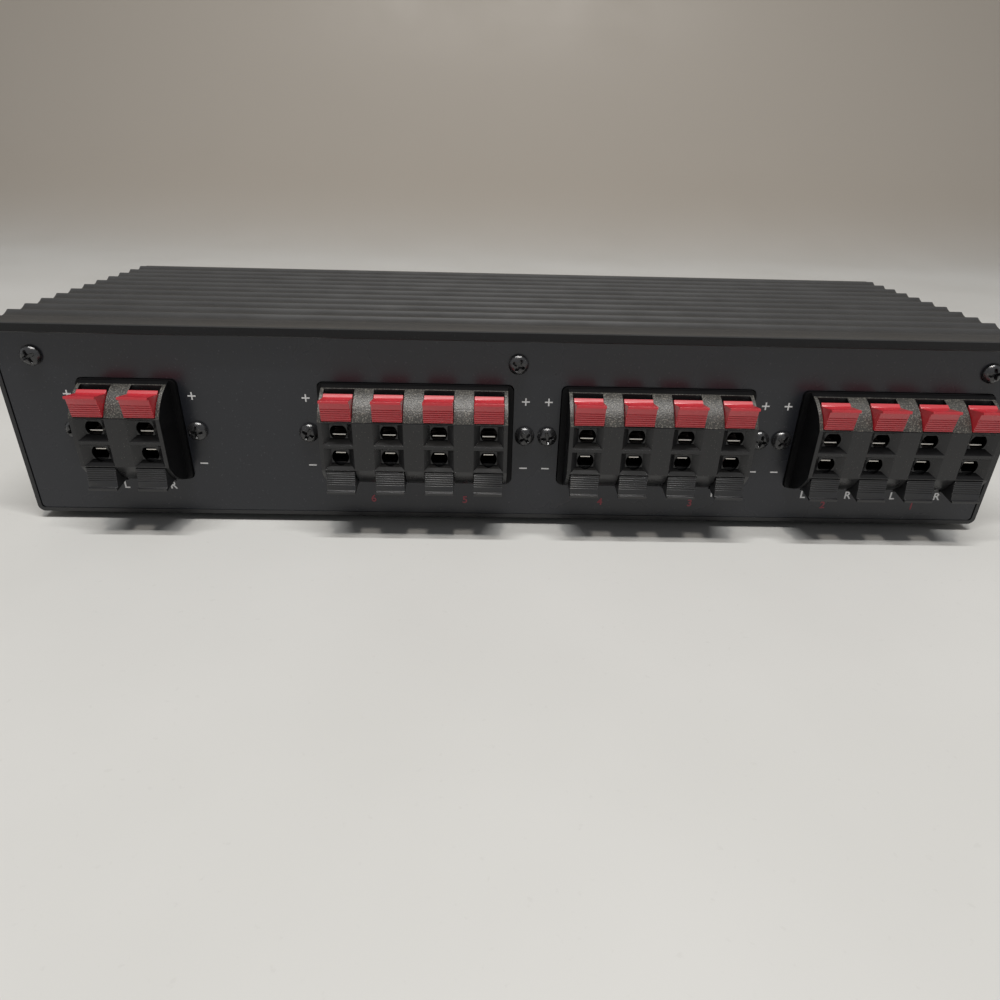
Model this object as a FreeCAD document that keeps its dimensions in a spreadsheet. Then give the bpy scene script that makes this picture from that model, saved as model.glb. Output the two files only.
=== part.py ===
import FreeCAD, Part
import Sketcher
import math
import os

# Six-pair speaker selector: a flat steel tray under a ribbed aluminium cover, a terminal
# panel with four blocks of push-lever wire terminals, and a control panel with six buttons.
# +X runs along the terminal panel, +Y points from the terminal panel to the control panel,
# +Z is up. The origin is the middle of the object's box, on the surface that it stands on.

os.makedirs("parts", exist_ok=True)
doc = FreeCAD.newDocument("speaker_selector")
sheet = doc.addObject("Spreadsheet::Sheet", "Sizes")


class Size:
    """A number together with the sheet expression that gives it."""

    def __init__(self, number, text):
        self.number = number
        self.text = text

    def __add__(self, other):
        other = as_size(other)
        return Size(self.number + other.number, f"({self.text} + {other.text})")

    def __sub__(self, other):
        other = as_size(other)
        return Size(self.number - other.number, f"({self.text} - {other.text})")

    def __mul__(self, other):
        other = as_size(other)
        return Size(self.number * other.number, f"({self.text} * {other.text})")

    def __truediv__(self, other):
        other = as_size(other)
        return Size(self.number / other.number, f"({self.text} / {other.text})")

    def __neg__(self):
        return Size(-self.number, f"(0 - {self.text})")

    __radd__ = __add__
    __rmul__ = __mul__

    def __rsub__(self, other):
        return as_size(other) - self


def as_size(value):
    return value if isinstance(value, Size) else Size(float(value), repr(float(value)))


def root(value):
    return Size(math.sqrt(value.number), f"sqrt({value.text})")


row_number = 0


def size(name, number):
    """Put one driving dimension, in millimetres, into the sheet under its own name."""
    global row_number
    row_number += 1
    sheet.set(f"A{row_number}", name)
    sheet.set(f"B{row_number}", str(number))
    sheet.setAlias(f"B{row_number}", name)
    return Size(float(number), f"Sizes.{name}")


# Case
case_width = size("case_width", 360)
case_height = size("case_height", 72.2)
case_depth = size("case_depth", 121.75)
foot_height = size("foot_height", 3)
tray_wall = size("tray_wall", 1.5)
tray_bend = size("tray_bend", 2.5)
panel_wall = size("panel_wall", 1.6)
fascia_wall = size("fascia_wall", 3)
panel_gap = size("panel_gap", 0.3)
panel_flange = size("panel_flange", 9)
# Ribbed cover
lip_reach = size("lip_reach", 2)
lip_height = size("lip_height", 3.4)
lip_drop = size("lip_drop", 0.7)
rib_count = 12
rib_margin = size("rib_margin", 4.5)
rib_land = size("rib_land", 0.5)
flute_depth = size("flute_depth", 1.55)
cover_flange = size("cover_flange", 3)
cover_flange_drop = size("cover_flange_drop", 13)
# Terminal blocks
column_pitch = size("column_pitch", 17.25)
block_rim = size("block_rim", 6.5)
block_reach = size("block_reach", 13.3)
block_middle = size("block_middle", 33.5)
hump_radius = size("hump_radius", 18.4)
hump_back = size("hump_back", 3.2)
hump_rise = size("hump_rise", 0.7)
boss_margin = size("boss_margin", 2)
boss_half = size("boss_half", 18.8)
boss_stand = size("boss_stand", 1.2)
boss_corner = size("boss_corner", 2)
cutout_gap = size("cutout_gap", 0.25)
block_flange = size("block_flange", 2.5)
block_ear = size("block_ear", 2.6)
block_tail = size("block_tail", 4.5)
screw_offset = size("screw_offset", 13)
# Wire entries
funnel_width = size("funnel_width", 10.4)
funnel_height = size("funnel_height", 8)
funnel_depth = size("funnel_depth", 2.3)
funnel_throat = size("funnel_throat", 6)
funnel_slope = size("funnel_slope", 1.8)
funnel_brow = size("funnel_brow", 1.1)
entry_floor = size("entry_floor", 2.3)
entry_radius = size("entry_radius", 2.95)
entry_height = size("entry_height", 4.6)
front_wall = size("front_wall", 3)
edge_gap_part = size("edge_gap_part", 25)
block_gap_part = size("block_gap_part", 21)
input_gap_part = size("input_gap_part", 3.2)
divider = size("divider", 1.8)
chamber_width = size("chamber_width", 10.5)
chamber_back = size("chamber_back", 5)
chamber_top = size("chamber_top", 13.5)
slot_back = size("slot_back", 3.6)
sill_height = size("sill_height", 9.1)
# Levers
lever_width = size("lever_width", 10.1)
lever_gap = size("lever_gap", 0.3)
lever_proud = size("lever_proud", 0.7)
lever_back = size("lever_back", 6.8)
lip_root = size("lip_root", 8.2)
lip_tip = size("lip_tip", 15.3)
lip_top = size("lip_top", 17.2)
lip_edge = size("lip_edge", 0.9)
lip_undercut = size("lip_undercut", 0.9)
lip_fillet = size("lip_fillet", 0.25)
groove_depth = size("groove_depth", 0.3)
groove_half = size("groove_half", 0.15)
groove_pitch = size("groove_pitch", 0.8)
groove_start = size("groove_start", 0.5)
groove_count = 6
pivot_back = size("pivot_back", 8.3)
pivot_height = size("pivot_height", 9.6)
heel_radius = size("heel_radius", 1.6)
heel_gap = size("heel_gap", 0.1)
trunnion_radius = size("trunnion_radius", 1.2)
trunnion_length = size("trunnion_length", 0.6)
trunnion_gap = size("trunnion_gap", 0.07)
socket_depth = size("socket_depth", 0.65)
shelf = size("shelf", 1.2)
# Contacts
contact_width = size("contact_width", 6)
contact_wall = size("contact_wall", 0.5)
contact_height = size("contact_height", 2.2)
contact_tail = size("contact_tail", 6)
# Control panel and what it carries
button_count = 6
button_pitch = size("button_pitch", 46)
button_width = size("button_width", 16)
button_height = size("button_height", 9)
button_middle = size("button_middle", 34)
button_reach = size("button_reach", 6)
button_gap = size("button_gap", 0.35)
button_travel = size("button_travel", 3)
stem_width = size("stem_width", 4)
stem_gap = size("stem_gap", 0.15)
switch_width = size("switch_width", 20)
switch_height = size("switch_height", 14)
switch_length = size("switch_length", 24)
board_wall = size("board_wall", 1.6)
board_width = size("board_width", 290)
board_length = size("board_length", 62)
resistor_side = size("resistor_side", 9)
resistor_length = size("resistor_length", 38)
ribbon_wall = size("ribbon_wall", 1)
# Fasteners and feet
head_radius = size("head_radius", 3.5)
head_height = size("head_height", 2.3)
shank_radius = size("shank_radius", 1.45)
shank_gap = size("shank_gap", 0.15)
screw_length = size("screw_length", 7)
cross_width = size("cross_width", 0.9)
cross_depth = size("cross_depth", 1.2)
panel_screw_side = size("panel_screw_side", 13.8)
panel_screw_drop = size("panel_screw_drop", 12.2)
foot_radius = size("foot_radius", 7)
foot_inset = size("foot_inset", 24)
standoff_radius = size("standoff_radius", 3)
board_inset = size("board_inset", 8)

INPUT_COLUMNS = 2
OUTPUT_COLUMNS = 4
OUTPUT_BLOCKS = 3

doc.recompute()

# Places that follow from the sizes
bottom = foot_height
floor_top = bottom + tray_wall
top = bottom + case_height
cover_under = top - lip_drop - lip_height
panel_low = bottom + tray_wall
block_level = bottom + block_middle
button_level = bottom + button_middle
reach_front = lip_tip + lip_edge / 6
reach_back = case_depth + button_reach
shift = (reach_front - reach_back) / 2
inner_width = case_width - tray_wall * 2 - panel_gap * 2
rib_pitch = (case_depth - rib_margin * 2) / (rib_count - 1)
panel_screw_height = case_height - panel_screw_drop
finished = []


def block_half(columns):
    return column_pitch * ((columns - 1) / 2) + block_rim


def screw_reach(columns):
    return column_pitch * ((columns - 1) / 2) + screw_offset


def block_places():
    """Middles of the blocks: the width that the blocks leave free is shared out as gaps."""
    input_half = screw_reach(INPUT_COLUMNS) + block_ear
    output_half = screw_reach(OUTPUT_COLUMNS) + block_ear
    free = case_width - output_half * (OUTPUT_BLOCKS * 2) - input_half * 2
    right = case_width / 2 - output_half - free / edge_gap_part
    step = output_half * 2 + free / block_gap_part
    first = input_half + free / input_gap_part - case_width / 2
    return first, right - step * 2, right - step, right


input_place, left_place, middle_place, right_place = block_places()
BLOCKS = (
    ("input", input_place, INPUT_COLUMNS),
    ("left", left_place, OUTPUT_COLUMNS),
    ("middle", middle_place, OUTPUT_COLUMNS),
    ("right", right_place, OUTPUT_COLUMNS),
)


def bind(thing, path, value):
    """Tie one property of a document object to the sheet."""
    value = as_size(value)
    thing.setExpression(path, value.text)


def place(thing, along_x=0, along_y=0, along_z=0):
    """Tie an object's place to the sheet; every part also takes the shift to the middle."""
    bind(thing, "Placement.Base.x", along_x)
    bind(thing, "Placement.Base.y", as_size(along_y) + shift)
    bind(thing, "Placement.Base.z", along_z)


def new_body(name):
    body = doc.addObject("PartDesign::Body", name)
    body.Label = name
    return body


def origin_plane(body, role):
    for feature in body.Origin.OriginFeatures:
        if feature.Role == role:
            return feature
    raise ValueError(role)


def sketch_on(body, name, role, offset=0):
    """An empty sketch on one of the body's own planes, moved along its normal by offset."""
    sketch = body.newObject("Sketcher::SketchObject", name)
    sketch.AttachmentSupport = (origin_plane(body, role), [""])
    sketch.MapMode = "FlatFace"
    bind(sketch, "AttachmentOffset.Base.z", offset)
    return sketch


def pin_point(sketch, geometry, end, along, up):
    """Fix one end of a curve by two distances from the sketch's origin."""
    for kind, value in (("DistanceX", as_size(along)), ("DistanceY", as_size(up))):
        index = sketch.addConstraint(Sketcher.Constraint(kind, -1, 1, geometry, end, value.number))
        sketch.setExpression(f"Constraints[{index}]", value.text)


def outline(sketch, points):
    """Close an outline through points. A third entry on a point bends the edge that leaves
    it: (centre along, centre up, turn), where turn is 1 for anticlockwise and -1 for clockwise."""
    vectors = [FreeCAD.Vector(as_size(p[0]).number, as_size(p[1]).number, 0) for p in points]
    count = len(points)
    for index, point in enumerate(points):
        start = vectors[index]
        stop = vectors[(index + 1) % count]
        if len(point) == 2:
            geometry = sketch.addGeometry(Part.LineSegment(start, stop), False)
            first = 1
        else:
            centre_along, centre_up, turn = point[2]
            centre = FreeCAD.Vector(as_size(centre_along).number, as_size(centre_up).number, 0)
            radius = (start - centre).Length
            first_angle = math.atan2(start.y - centre.y, start.x - centre.x)
            last_angle = math.atan2(stop.y - centre.y, stop.x - centre.x)
            if turn < 0:
                first_angle, last_angle = last_angle, first_angle
            if last_angle < first_angle:
                last_angle += 2 * math.pi
            circle = Part.Circle(centre, FreeCAD.Vector(0, 0, 1), radius)
            geometry = sketch.addGeometry(Part.ArcOfCircle(circle, first_angle, last_angle), False)
            first = 1 if turn > 0 else 2
            pin_point(sketch, geometry, 3, centre_along, centre_up)
        if len(point) == 2:
            pin_point(sketch, geometry, first, point[0], point[1])
            next_point = points[(index + 1) % count]
            pin_point(sketch, geometry, 3 - first, next_point[0], next_point[1])
        else:
            pin_point(sketch, geometry, first, point[0], point[1])


def pad(body, name, sketch, length, centred=False, backward=False):
    feature = body.newObject("PartDesign::Pad", name)
    feature.Profile = sketch
    bind(feature, "Length", length)
    feature.Midplane = centred
    feature.Reversed = backward
    sketch.Visibility = False
    return feature


def pocket(body, name, sketch, length, centred=False, backward=False, taper=None):
    feature = body.newObject("PartDesign::Pocket", name)
    feature.Profile = sketch
    bind(feature, "Length", length)
    feature.Midplane = centred
    feature.Reversed = backward
    if taper is not None:
        bind(feature, "TaperAngle", taper)
    return feature


def rectangle(along_low, along_high, up_low, up_high):
    return [(along_low, up_low), (along_high, up_low), (along_high, up_high), (along_low, up_high)]


def rounded_rectangle(half_along, half_up, radius, up_middle=0):
    """Corner points, anticlockwise, with an arc leaving every second point."""
    points = []
    for side_along, side_up in ((1, -1), (1, 1), (-1, 1), (-1, -1)):
        centre = (side_along * (half_along - radius), up_middle + side_up * (half_up - radius))
        before = (centre[0], up_middle + side_up * half_up)
        after = (side_along * half_along, centre[1])
        if side_along * side_up > 0:
            before, after = after, before
        points.append((before[0], before[1], (centre[0], centre[1], 1)))
        points.append(after)
    return points


def circle_on(sketch, radius, along=0, up=0):
    centre = FreeCAD.Vector(as_size(along).number, as_size(up).number, 0)
    geometry = sketch.addGeometry(Part.Circle(centre, FreeCAD.Vector(0, 0, 1), as_size(radius).number))
    pin_point(sketch, geometry, 3, along, up)
    index = sketch.addConstraint(Sketcher.Constraint("Radius", geometry, as_size(radius).number))
    sketch.setExpression(f"Constraints[{index}]", as_size(radius).text)


def box(name, low, high):
    """A Part::Box from one corner to the other, tied to the sheet."""
    solid = doc.addObject("Part::Box", name)
    for path, first, last in zip(("Length", "Width", "Height"), low, high):
        bind(solid, path, as_size(last) - first)
    bind(solid, "Placement.Base.x", low[0])
    bind(solid, "Placement.Base.y", low[1])
    bind(solid, "Placement.Base.z", low[2])
    return solid


def cylinder(name, radius, length, base, direction=(0, 0, 1)):
    solid = doc.addObject("Part::Cylinder", name)
    bind(solid, "Radius", radius)
    bind(solid, "Height", length)
    turn = FreeCAD.Rotation(FreeCAD.Vector(0, 0, 1), FreeCAD.Vector(*direction))
    solid.Placement.Rotation = turn
    for axis, value in zip("xyz", base):
        bind(solid, f"Placement.Base.{axis}", value)
    return solid


def group(name, solids):
    """Several separate solids of one node."""
    compound = doc.addObject("Part::Compound", name)
    compound.Label = name
    compound.Links = solids
    return compound


def cut_from(name, base, tools):
    tool = tools[0]
    if len(tools) > 1:
        tool = doc.addObject("Part::MultiFuse", name + "_cuts")
        tool.Shapes = tools
    cut = doc.addObject("Part::Cut", name)
    cut.Base = base
    cut.Tool = tool
    cut.Label = name
    return cut


def finish(thing, along_x=0, along_y=0, along_z=0):
    place(thing, along_x, along_y, along_z)
    finished.append(thing)
    return thing


def column_places(middle, columns):
    return [middle + column_pitch * (index - (columns - 1) / 2) for index in range(columns)]


# Case shells

def make_tray():
    """Bent sheet: a floor and two sides with rounded bends, open at both ends."""
    body = new_body("chassis_tray")
    sketch = sketch_on(body, "tray_profile", "XZ_Plane")
    half = case_width / 2
    side_top = cover_under - panel_gap
    inner = half - tray_wall
    inner_bend = tray_bend - tray_wall
    points = [
        (-(half - tray_bend), bottom),
        (half - tray_bend, bottom, (half - tray_bend, bottom + tray_bend, 1)),
        (half, bottom + tray_bend),
        (half, side_top),
        (inner, side_top),
        (inner, bottom + tray_bend, (inner - inner_bend, bottom + tray_bend, -1)),
        (inner - inner_bend, floor_top),
        (-(inner - inner_bend), floor_top, (-(inner - inner_bend), bottom + tray_bend, -1)),
        (-inner, bottom + tray_bend),
        (-inner, side_top),
        (-half, side_top),
        (-half, bottom + tray_bend, (-(half - tray_bend), bottom + tray_bend, 1)),
    ]
    outline(sketch, points)
    pad(body, "tray_sheet", sketch, case_depth + panel_gap * 2, backward=True)
    holes = sketch_on(body, "tray_holes_sketch", "XY_Plane", floor_top)
    for along, across in panel_flange_places():
        circle_on(holes, shank_radius + shank_gap, along, across + panel_gap)
    pocket(body, "tray_holes", holes, tray_wall * 2)
    return finish(body, 0, -panel_gap, 0)


def board_screw_places():
    """The board's four fixing points, measured from the terminal panel's face."""
    half = board_width / 2 - board_inset
    far = board_back() - board_inset
    near = board_back() - board_length + board_inset
    return [(side * half, across) for side in (-1, 1) for across in (near, far)]


def board_back():
    return case_depth - fascia_wall - 4


def panel_flange_places():
    near = panel_wall + panel_flange / 2
    far = case_depth - fascia_wall - panel_flange / 2
    offset = case_width / 3
    return [(side * offset, across) for across in (near, far) for side in (-1, 1)]


def make_cover():
    """Extruded cover: fluted top, a lip over each panel and a flange behind each panel."""
    body = new_body("top_cover")
    sketch = sketch_on(body, "cover_profile", "YZ_Plane")
    land = rib_land / 2
    half_flute = rib_pitch / 2 - land
    flute_radius = (half_flute * half_flute + flute_depth * flute_depth) / (flute_depth * 2)
    flute_up = top - flute_depth + flute_radius
    front = -lip_reach
    back = case_depth + lip_reach
    profile = [(front, cover_under), (back, cover_under), (back, top - lip_drop)]
    for index in range(rib_count - 1, 0, -1):
        crest = rib_margin + rib_pitch * index
        flute_middle = crest - rib_pitch / 2
        profile.append((crest + land, top))
        profile.append((crest - land, top, (flute_middle, flute_up, -1)))
    profile += [(rib_margin + land, top), (rib_margin - land, top), (front, top - lip_drop)]
    outline(sketch, profile)
    pad(body, "cover_extrusion", sketch, case_width, centred=True)
    flange_low = cover_under - cover_flange_drop
    inner_front = panel_wall + panel_gap
    inner_back = case_depth - fascia_wall - panel_gap
    for word, near in (("terminal", inner_front), ("control", inner_back - cover_flange)):
        flange = sketch_on(body, f"cover_{word}_flange_sketch", "YZ_Plane")
        outline(flange, rectangle(near, near + cover_flange, flange_low, cover_under + panel_gap))
        pad(body, f"cover_{word}_flange", flange, inner_width, centred=True)
    holes = sketch_on(body, "cover_holes_sketch", "XZ_Plane", -inner_front)
    for along in panel_screw_places():
        circle_on(holes, shank_radius, along, bottom + panel_screw_height)
    pocket(body, "cover_holes", holes, cover_flange)
    return finish(body)


def panel_outline(low, high):
    """A panel between the tray's sides, its lower corners clear of the tray's bends."""
    half = inner_width / 2
    corner = tray_bend - tray_wall
    return [
        (-half + corner, low),
        (half - corner, low),
        (half, low + corner),
        (half, high),
        (-half, high),
        (-half, low + corner),
    ]


def make_terminal_panel():
    """Flat panel with four cut-outs, screw holes and a return flange on the floor."""
    body = new_body("terminal_panel")
    sketch = sketch_on(body, "terminal_panel_outline", "XZ_Plane")
    low = floor_top
    high = cover_under - panel_gap
    outline(sketch, panel_outline(low, high))
    pad(body, "terminal_panel_sheet", sketch, panel_wall, backward=True)
    fold = sketch_on(body, "terminal_panel_fold_sketch", "XY_Plane", low)
    fold_half = inner_width / 2 - tray_bend
    outline(fold, rectangle(-fold_half, fold_half, panel_wall, panel_wall + panel_flange))
    pad(body, "terminal_panel_fold", fold, panel_wall)
    cuts = sketch_on(body, "terminal_panel_cuts", "XZ_Plane")
    for _, middle, columns in BLOCKS:
        half = block_half(columns) + boss_margin + cutout_gap
        corners = rounded_rectangle(half, boss_half + cutout_gap, boss_corner, block_level)
        outline(cuts, shifted(corners, middle))
        for side in (-1, 1):
            reach = screw_reach(columns) * side
            circle_on(cuts, shank_radius + shank_gap, middle + reach, block_level)
    for along in panel_screw_places():
        circle_on(cuts, shank_radius + shank_gap, along, bottom + panel_screw_height)
    pocket(body, "terminal_panel_openings", cuts, panel_wall * 2)
    holes = sketch_on(body, "terminal_panel_fold_holes", "XY_Plane", low)
    for along, across in panel_flange_places()[:2]:
        circle_on(holes, shank_radius + shank_gap, along, across)
    pocket(body, "terminal_panel_fold_cuts", holes, panel_wall, backward=True)
    return finish(body)


def shifted(points, along):
    moved = []
    for point in points:
        if len(point) == 2:
            moved.append((point[0] + along, point[1]))
        else:
            centre = point[2]
            moved.append((point[0] + along, point[1], (centre[0] + along, centre[1], centre[2])))
    return moved


def panel_screw_places():
    reach = case_width / 2 - panel_screw_side
    return [-reach, as_size(0), reach]


def button_places():
    return [button_pitch * (index - (button_count - 1) / 2) for index in range(button_count)]


def make_control_panel():
    """Thicker front plate with six button windows and a return flange on the floor."""
    body = new_body("control_panel")
    sketch = sketch_on(body, "control_panel_outline", "XZ_Plane")
    low = floor_top
    high = cover_under - panel_gap
    outline(sketch, panel_outline(low, high))
    pad(body, "control_panel_plate", sketch, fascia_wall)
    fold = sketch_on(body, "control_panel_fold_sketch", "XY_Plane", low)
    fold_half = inner_width / 2 - tray_bend
    outline(fold, rectangle(-fold_half, fold_half, -fascia_wall - panel_flange, -fascia_wall))
    pad(body, "control_panel_fold", fold, panel_wall)
    cuts = sketch_on(body, "control_panel_windows", "XZ_Plane")
    half_along = button_width / 2 + button_gap
    half_up = button_height / 2 + button_gap
    for along in button_places():
        corners = rounded_rectangle(half_along, half_up, button_gap * 3, button_level)
        outline(cuts, shifted(corners, along))
    pocket(body, "control_panel_openings", cuts, fascia_wall * 2, backward=True)
    holes = sketch_on(body, "control_panel_fold_holes", "XY_Plane", low)
    for along, across in panel_flange_places()[2:]:
        circle_on(holes, shank_radius + shank_gap, along, across - case_depth)
    pocket(body, "control_panel_fold_cuts", holes, panel_wall, backward=True)
    return finish(body, 0, case_depth, 0)


# Terminal blocks: section points are (y, height above the block's middle)

def hump_at(distance):
    """Height of the hump over the block's middle at a distance in front of the panel."""
    across = hump_back + distance
    return hump_rise + root(hump_radius * hump_radius - across * across)


def chamber_points(side):
    """Section of one lever chamber: slot, sill, cradle for the heel, and the wire space."""
    wall = -(block_reach - front_wall)
    outside = -(block_reach + 2)
    pivot = -pivot_back
    cradle = heel_radius + heel_gap
    shelf_low = pivot_height - cradle - shelf
    rim = root(cradle * cradle - (pivot_height - sill_height) * (pivot_height - sill_height))
    over = hump_radius + hump_rise + 2
    points = [
        (wall, divider / 2),
        (chamber_back, divider / 2),
        (chamber_back, chamber_top),
        (-slot_back, chamber_top),
        (-slot_back, over),
        (outside, over),
        (outside, sill_height),
        (pivot - rim, sill_height, (pivot, pivot_height, 1)),
        (pivot, pivot_height - cradle),
        (pivot, shelf_low),
        (wall, shelf_low),
    ]
    if side > 0:
        return points
    return mirrored(points)


def mirrored(points):
    turned = []
    for point in points:
        if len(point) == 2:
            turned.append((point[0], -as_size(point[1])))
        else:
            centre = point[2]
            turned.append((point[0], -as_size(point[1]), (centre[0], -as_size(centre[1]), -centre[2])))
    return turned


def entry_points(along, side):
    """A round wire hole, flat on the side where the wire lies on its contact."""
    sunk = entry_height - entry_floor
    half = root(entry_radius * entry_radius - sunk * sunk)
    level = entry_height * side
    floor = entry_floor * side
    return [
        (along + half * side, floor, (along, level, 1)),
        (along - half * side, floor),
    ]


def cut_between(body, name, outer, inner):
    """Cut the space between two outlines on parallel planes."""
    feature = body.newObject("PartDesign::SubtractiveLoft", name)
    feature.Profile = outer
    feature.Sections = [inner]
    feature.Ruled = True
    return feature


def make_housing(name, middle, columns):
    """Moulded block: humped body, boss through the panel, ears behind it, lever chambers,
    square funnels and round wire entries. One column is cut and repeated along X."""
    body = new_body("terminal_housing_" + name)
    label = name + "_"
    half = block_half(columns)
    crown = hump_at(as_size(boss_stand))
    face = hump_at(block_reach)
    section = sketch_on(body, label + "section", "YZ_Plane")
    points = [
        (-block_reach, face, (hump_back, hump_rise, -1)),
        (-boss_stand, crown),
        (panel_wall, crown),
        (panel_wall, -crown),
        (-boss_stand, -crown, (hump_back, -hump_rise, -1)),
        (-block_reach, -face),
    ]
    outline(section, points)
    pad(body, label + "hump", section, half * 2, centred=True)
    boss = sketch_on(body, label + "boss_sketch", "XZ_Plane", boss_stand)
    outline(boss, rounded_rectangle(half + boss_margin, boss_half, boss_corner))
    pad(body, label + "boss", boss, boss_stand + panel_wall, backward=True)
    ears = sketch_on(body, label + "ears_sketch", "XZ_Plane", -panel_wall - heel_gap)
    ear_half = screw_reach(columns) + block_ear
    outline(ears, rounded_rectangle(ear_half, boss_half + block_rim / 4, boss_corner))
    for side in (-1, 1):
        circle_on(ears, shank_radius, screw_reach(columns) * side, 0)
    pad(body, label + "ears", ears, block_flange, backward=True)
    tail = sketch_on(body, label + "tail_sketch", "XZ_Plane", -panel_wall)
    outline(tail, rectangle(-half, half, -(boss_half - boss_corner), boss_half - boss_corner))
    pad(body, label + "tail", tail, block_flange + block_tail, backward=True)
    first = column_pitch * (-(columns - 1) / 2)
    cuts = []
    for side, word in ((1, "upper"), (-1, "lower")):
        chamber = sketch_on(body, label + word + "_chamber_sketch", "YZ_Plane", first)
        outline(chamber, chamber_points(side))
        cuts.append(pocket(body, label + word + "_chamber", chamber, chamber_width, centred=True))
        funnel = sketch_on(body, label + word + "_funnel_sketch", "XZ_Plane", block_reach)
        level = entry_height * side
        low = level - funnel_height / 2
        high = level + funnel_height / 2
        outline(funnel, rectangle(first - funnel_width / 2, first + funnel_width / 2, low, high))
        throat = sketch_on(body, label + word + "_throat_sketch", "XZ_Plane", block_reach - funnel_depth)
        outline(throat, rectangle(first - funnel_throat / 2, first + funnel_throat / 2,
                                  low + funnel_slope, high - funnel_brow))
        cuts.append(cut_between(body, label + word + "_funnel", funnel, throat))
        entry = sketch_on(body, label + word + "_entry_sketch", "XZ_Plane", block_reach)
        outline(entry, entry_points(first, side))
        cuts.append(pocket(body, label + word + "_entry", entry, front_wall + heel_gap))
        slit = sketch_on(body, label + word + "_slit_sketch", "XZ_Plane", 0)
        slit_low = contact_height * side - contact_wall
        slit_high = contact_height * side + contact_wall
        slit_half = contact_width / 2 + heel_gap
        outline(slit, rectangle(first - slit_half, first + slit_half, slit_low, slit_high))
        cuts.append(pocket(body, label + word + "_slit", slit,
                           panel_wall + block_flange + block_tail * 2))
        socket = sketch_on(body, label + word + "_socket_sketch", "YZ_Plane", first)
        circle_on(socket, trunnion_radius + trunnion_gap, -pivot_back, pivot_height * side)
        cuts.append(pocket(body, label + word + "_socket", socket, chamber_width + socket_depth * 2, centred=True))
    repeat = body.newObject("PartDesign::LinearPattern", label + "columns")
    repeat.Originals = cuts
    repeat.Direction = (origin_axis(body, "X_Axis"), [""])
    bind(repeat, "Length", column_pitch * (columns - 1))
    repeat.Occurrences = columns
    body.Tip = repeat
    return finish(body, middle, 0, block_level)


def origin_axis(body, role):
    for feature in body.Origin.OriginFeatures:
        if feature.Role == role:
            return feature
    raise ValueError(role)


def lever_points(side):
    """Section of a lever: heel, curved back, finger lip and a ribbed grip face."""
    pivot = -pivot_back
    shell = hump_radius + lever_proud
    back_up = hump_rise + root(shell * shell - (hump_back + lever_back) * (hump_back + lever_back))
    root_up = hump_rise + root(shell * shell - (hump_back + lip_root) * (hump_back + lip_root))
    foot_up = sill_height + lever_gap
    foot_front = -(block_reach + lever_gap / 3)
    heel_front = root(heel_radius * heel_radius - (pivot_height - foot_up) * (pivot_height - foot_up))
    tip_low = lip_top - lip_edge
    points = [
        (-lever_back, back_up, (-hump_back * -1, hump_rise, 1)),
        (-lip_root, root_up),
        (-lip_tip, lip_top),
        (-lip_tip - lip_edge / 6, tip_low),
    ]
    face_top = tip_low - lip_fillet
    face_front = -(lip_tip - lip_undercut)
    lean = (face_front - foot_front) / (face_top - foot_up)
    points.append((face_front, face_top))
    for index in range(groove_count - 1, -1, -1):
        rise = groove_start + groove_pitch * index
        for offset, depth in ((groove_half, 0), (0, groove_depth), (-groove_half, 0)):
            up = rise + offset
            points.append((foot_front + lean * up + depth, foot_up + up))
    points.append((foot_front, foot_up))
    points.append((pivot - heel_front, foot_up, (pivot, pivot_height, 1)))
    points.append((pivot + heel_radius, pivot_height))
    if side > 0:
        return points
    return mirrored(points)


def make_lever_master(name, side):
    body = new_body(name)
    sketch = sketch_on(body, name + "_section", "YZ_Plane")
    outline(sketch, lever_points(side))
    pad(body, name + "_moulding", sketch, lever_width, centred=True)
    pins = sketch_on(body, name + "_pins_sketch", "YZ_Plane")
    circle_on(pins, trunnion_radius, -pivot_back, pivot_height * side)
    pad(body, name + "_pins", pins, lever_width + trunnion_length * 2, centred=True)
    return body


def make_levers():
    masters = {1: make_lever_master("red_lever_shape", 1), -1: make_lever_master("black_lever_shape", -1)}
    for name, middle, columns in BLOCKS:
        for index, along in enumerate(column_places(middle, columns)):
            for side, colour in ((1, "red"), (-1, "black")):
                lever = doc.addObject("App::Link", f"{colour}_lever_{name}_{index + 1}")
                lever.LinkedObject = masters[side]
                lever.Label = lever.Name
                finish(lever, along, 0, block_level)


def contact_points(side):
    """Section of a contact: a flat lug that the wire lies on, and its tail at the back."""
    low = contact_height - contact_wall / 2
    high = contact_height + contact_wall / 2
    front = -(block_reach - front_wall - lever_gap)
    back = panel_wall + block_flange + block_tail + contact_tail
    points = rectangle(front, back, low, high)
    return points if side > 0 else mirrored(points)


def spring_points(side):
    """Section of the spring: a strip that folds back over the lug and ends at the lever."""
    low = contact_height + contact_wall / 2
    tip_up = pivot_height - heel_radius / 2
    tip = -(pivot_back - heel_radius - lever_gap * 2)
    bend = chamber_back - lever_gap
    points = [
        (tip / 2, low),
        (bend, low),
        (bend, tip_up - contact_wall),
        (tip, tip_up + contact_wall),
        (tip, tip_up),
        (bend - contact_wall, tip_up - contact_wall * 2),
        (bend - contact_wall, low + contact_wall),
        (tip / 2, low + contact_wall),
    ]
    return points if side > 0 else mirrored(points)


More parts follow.
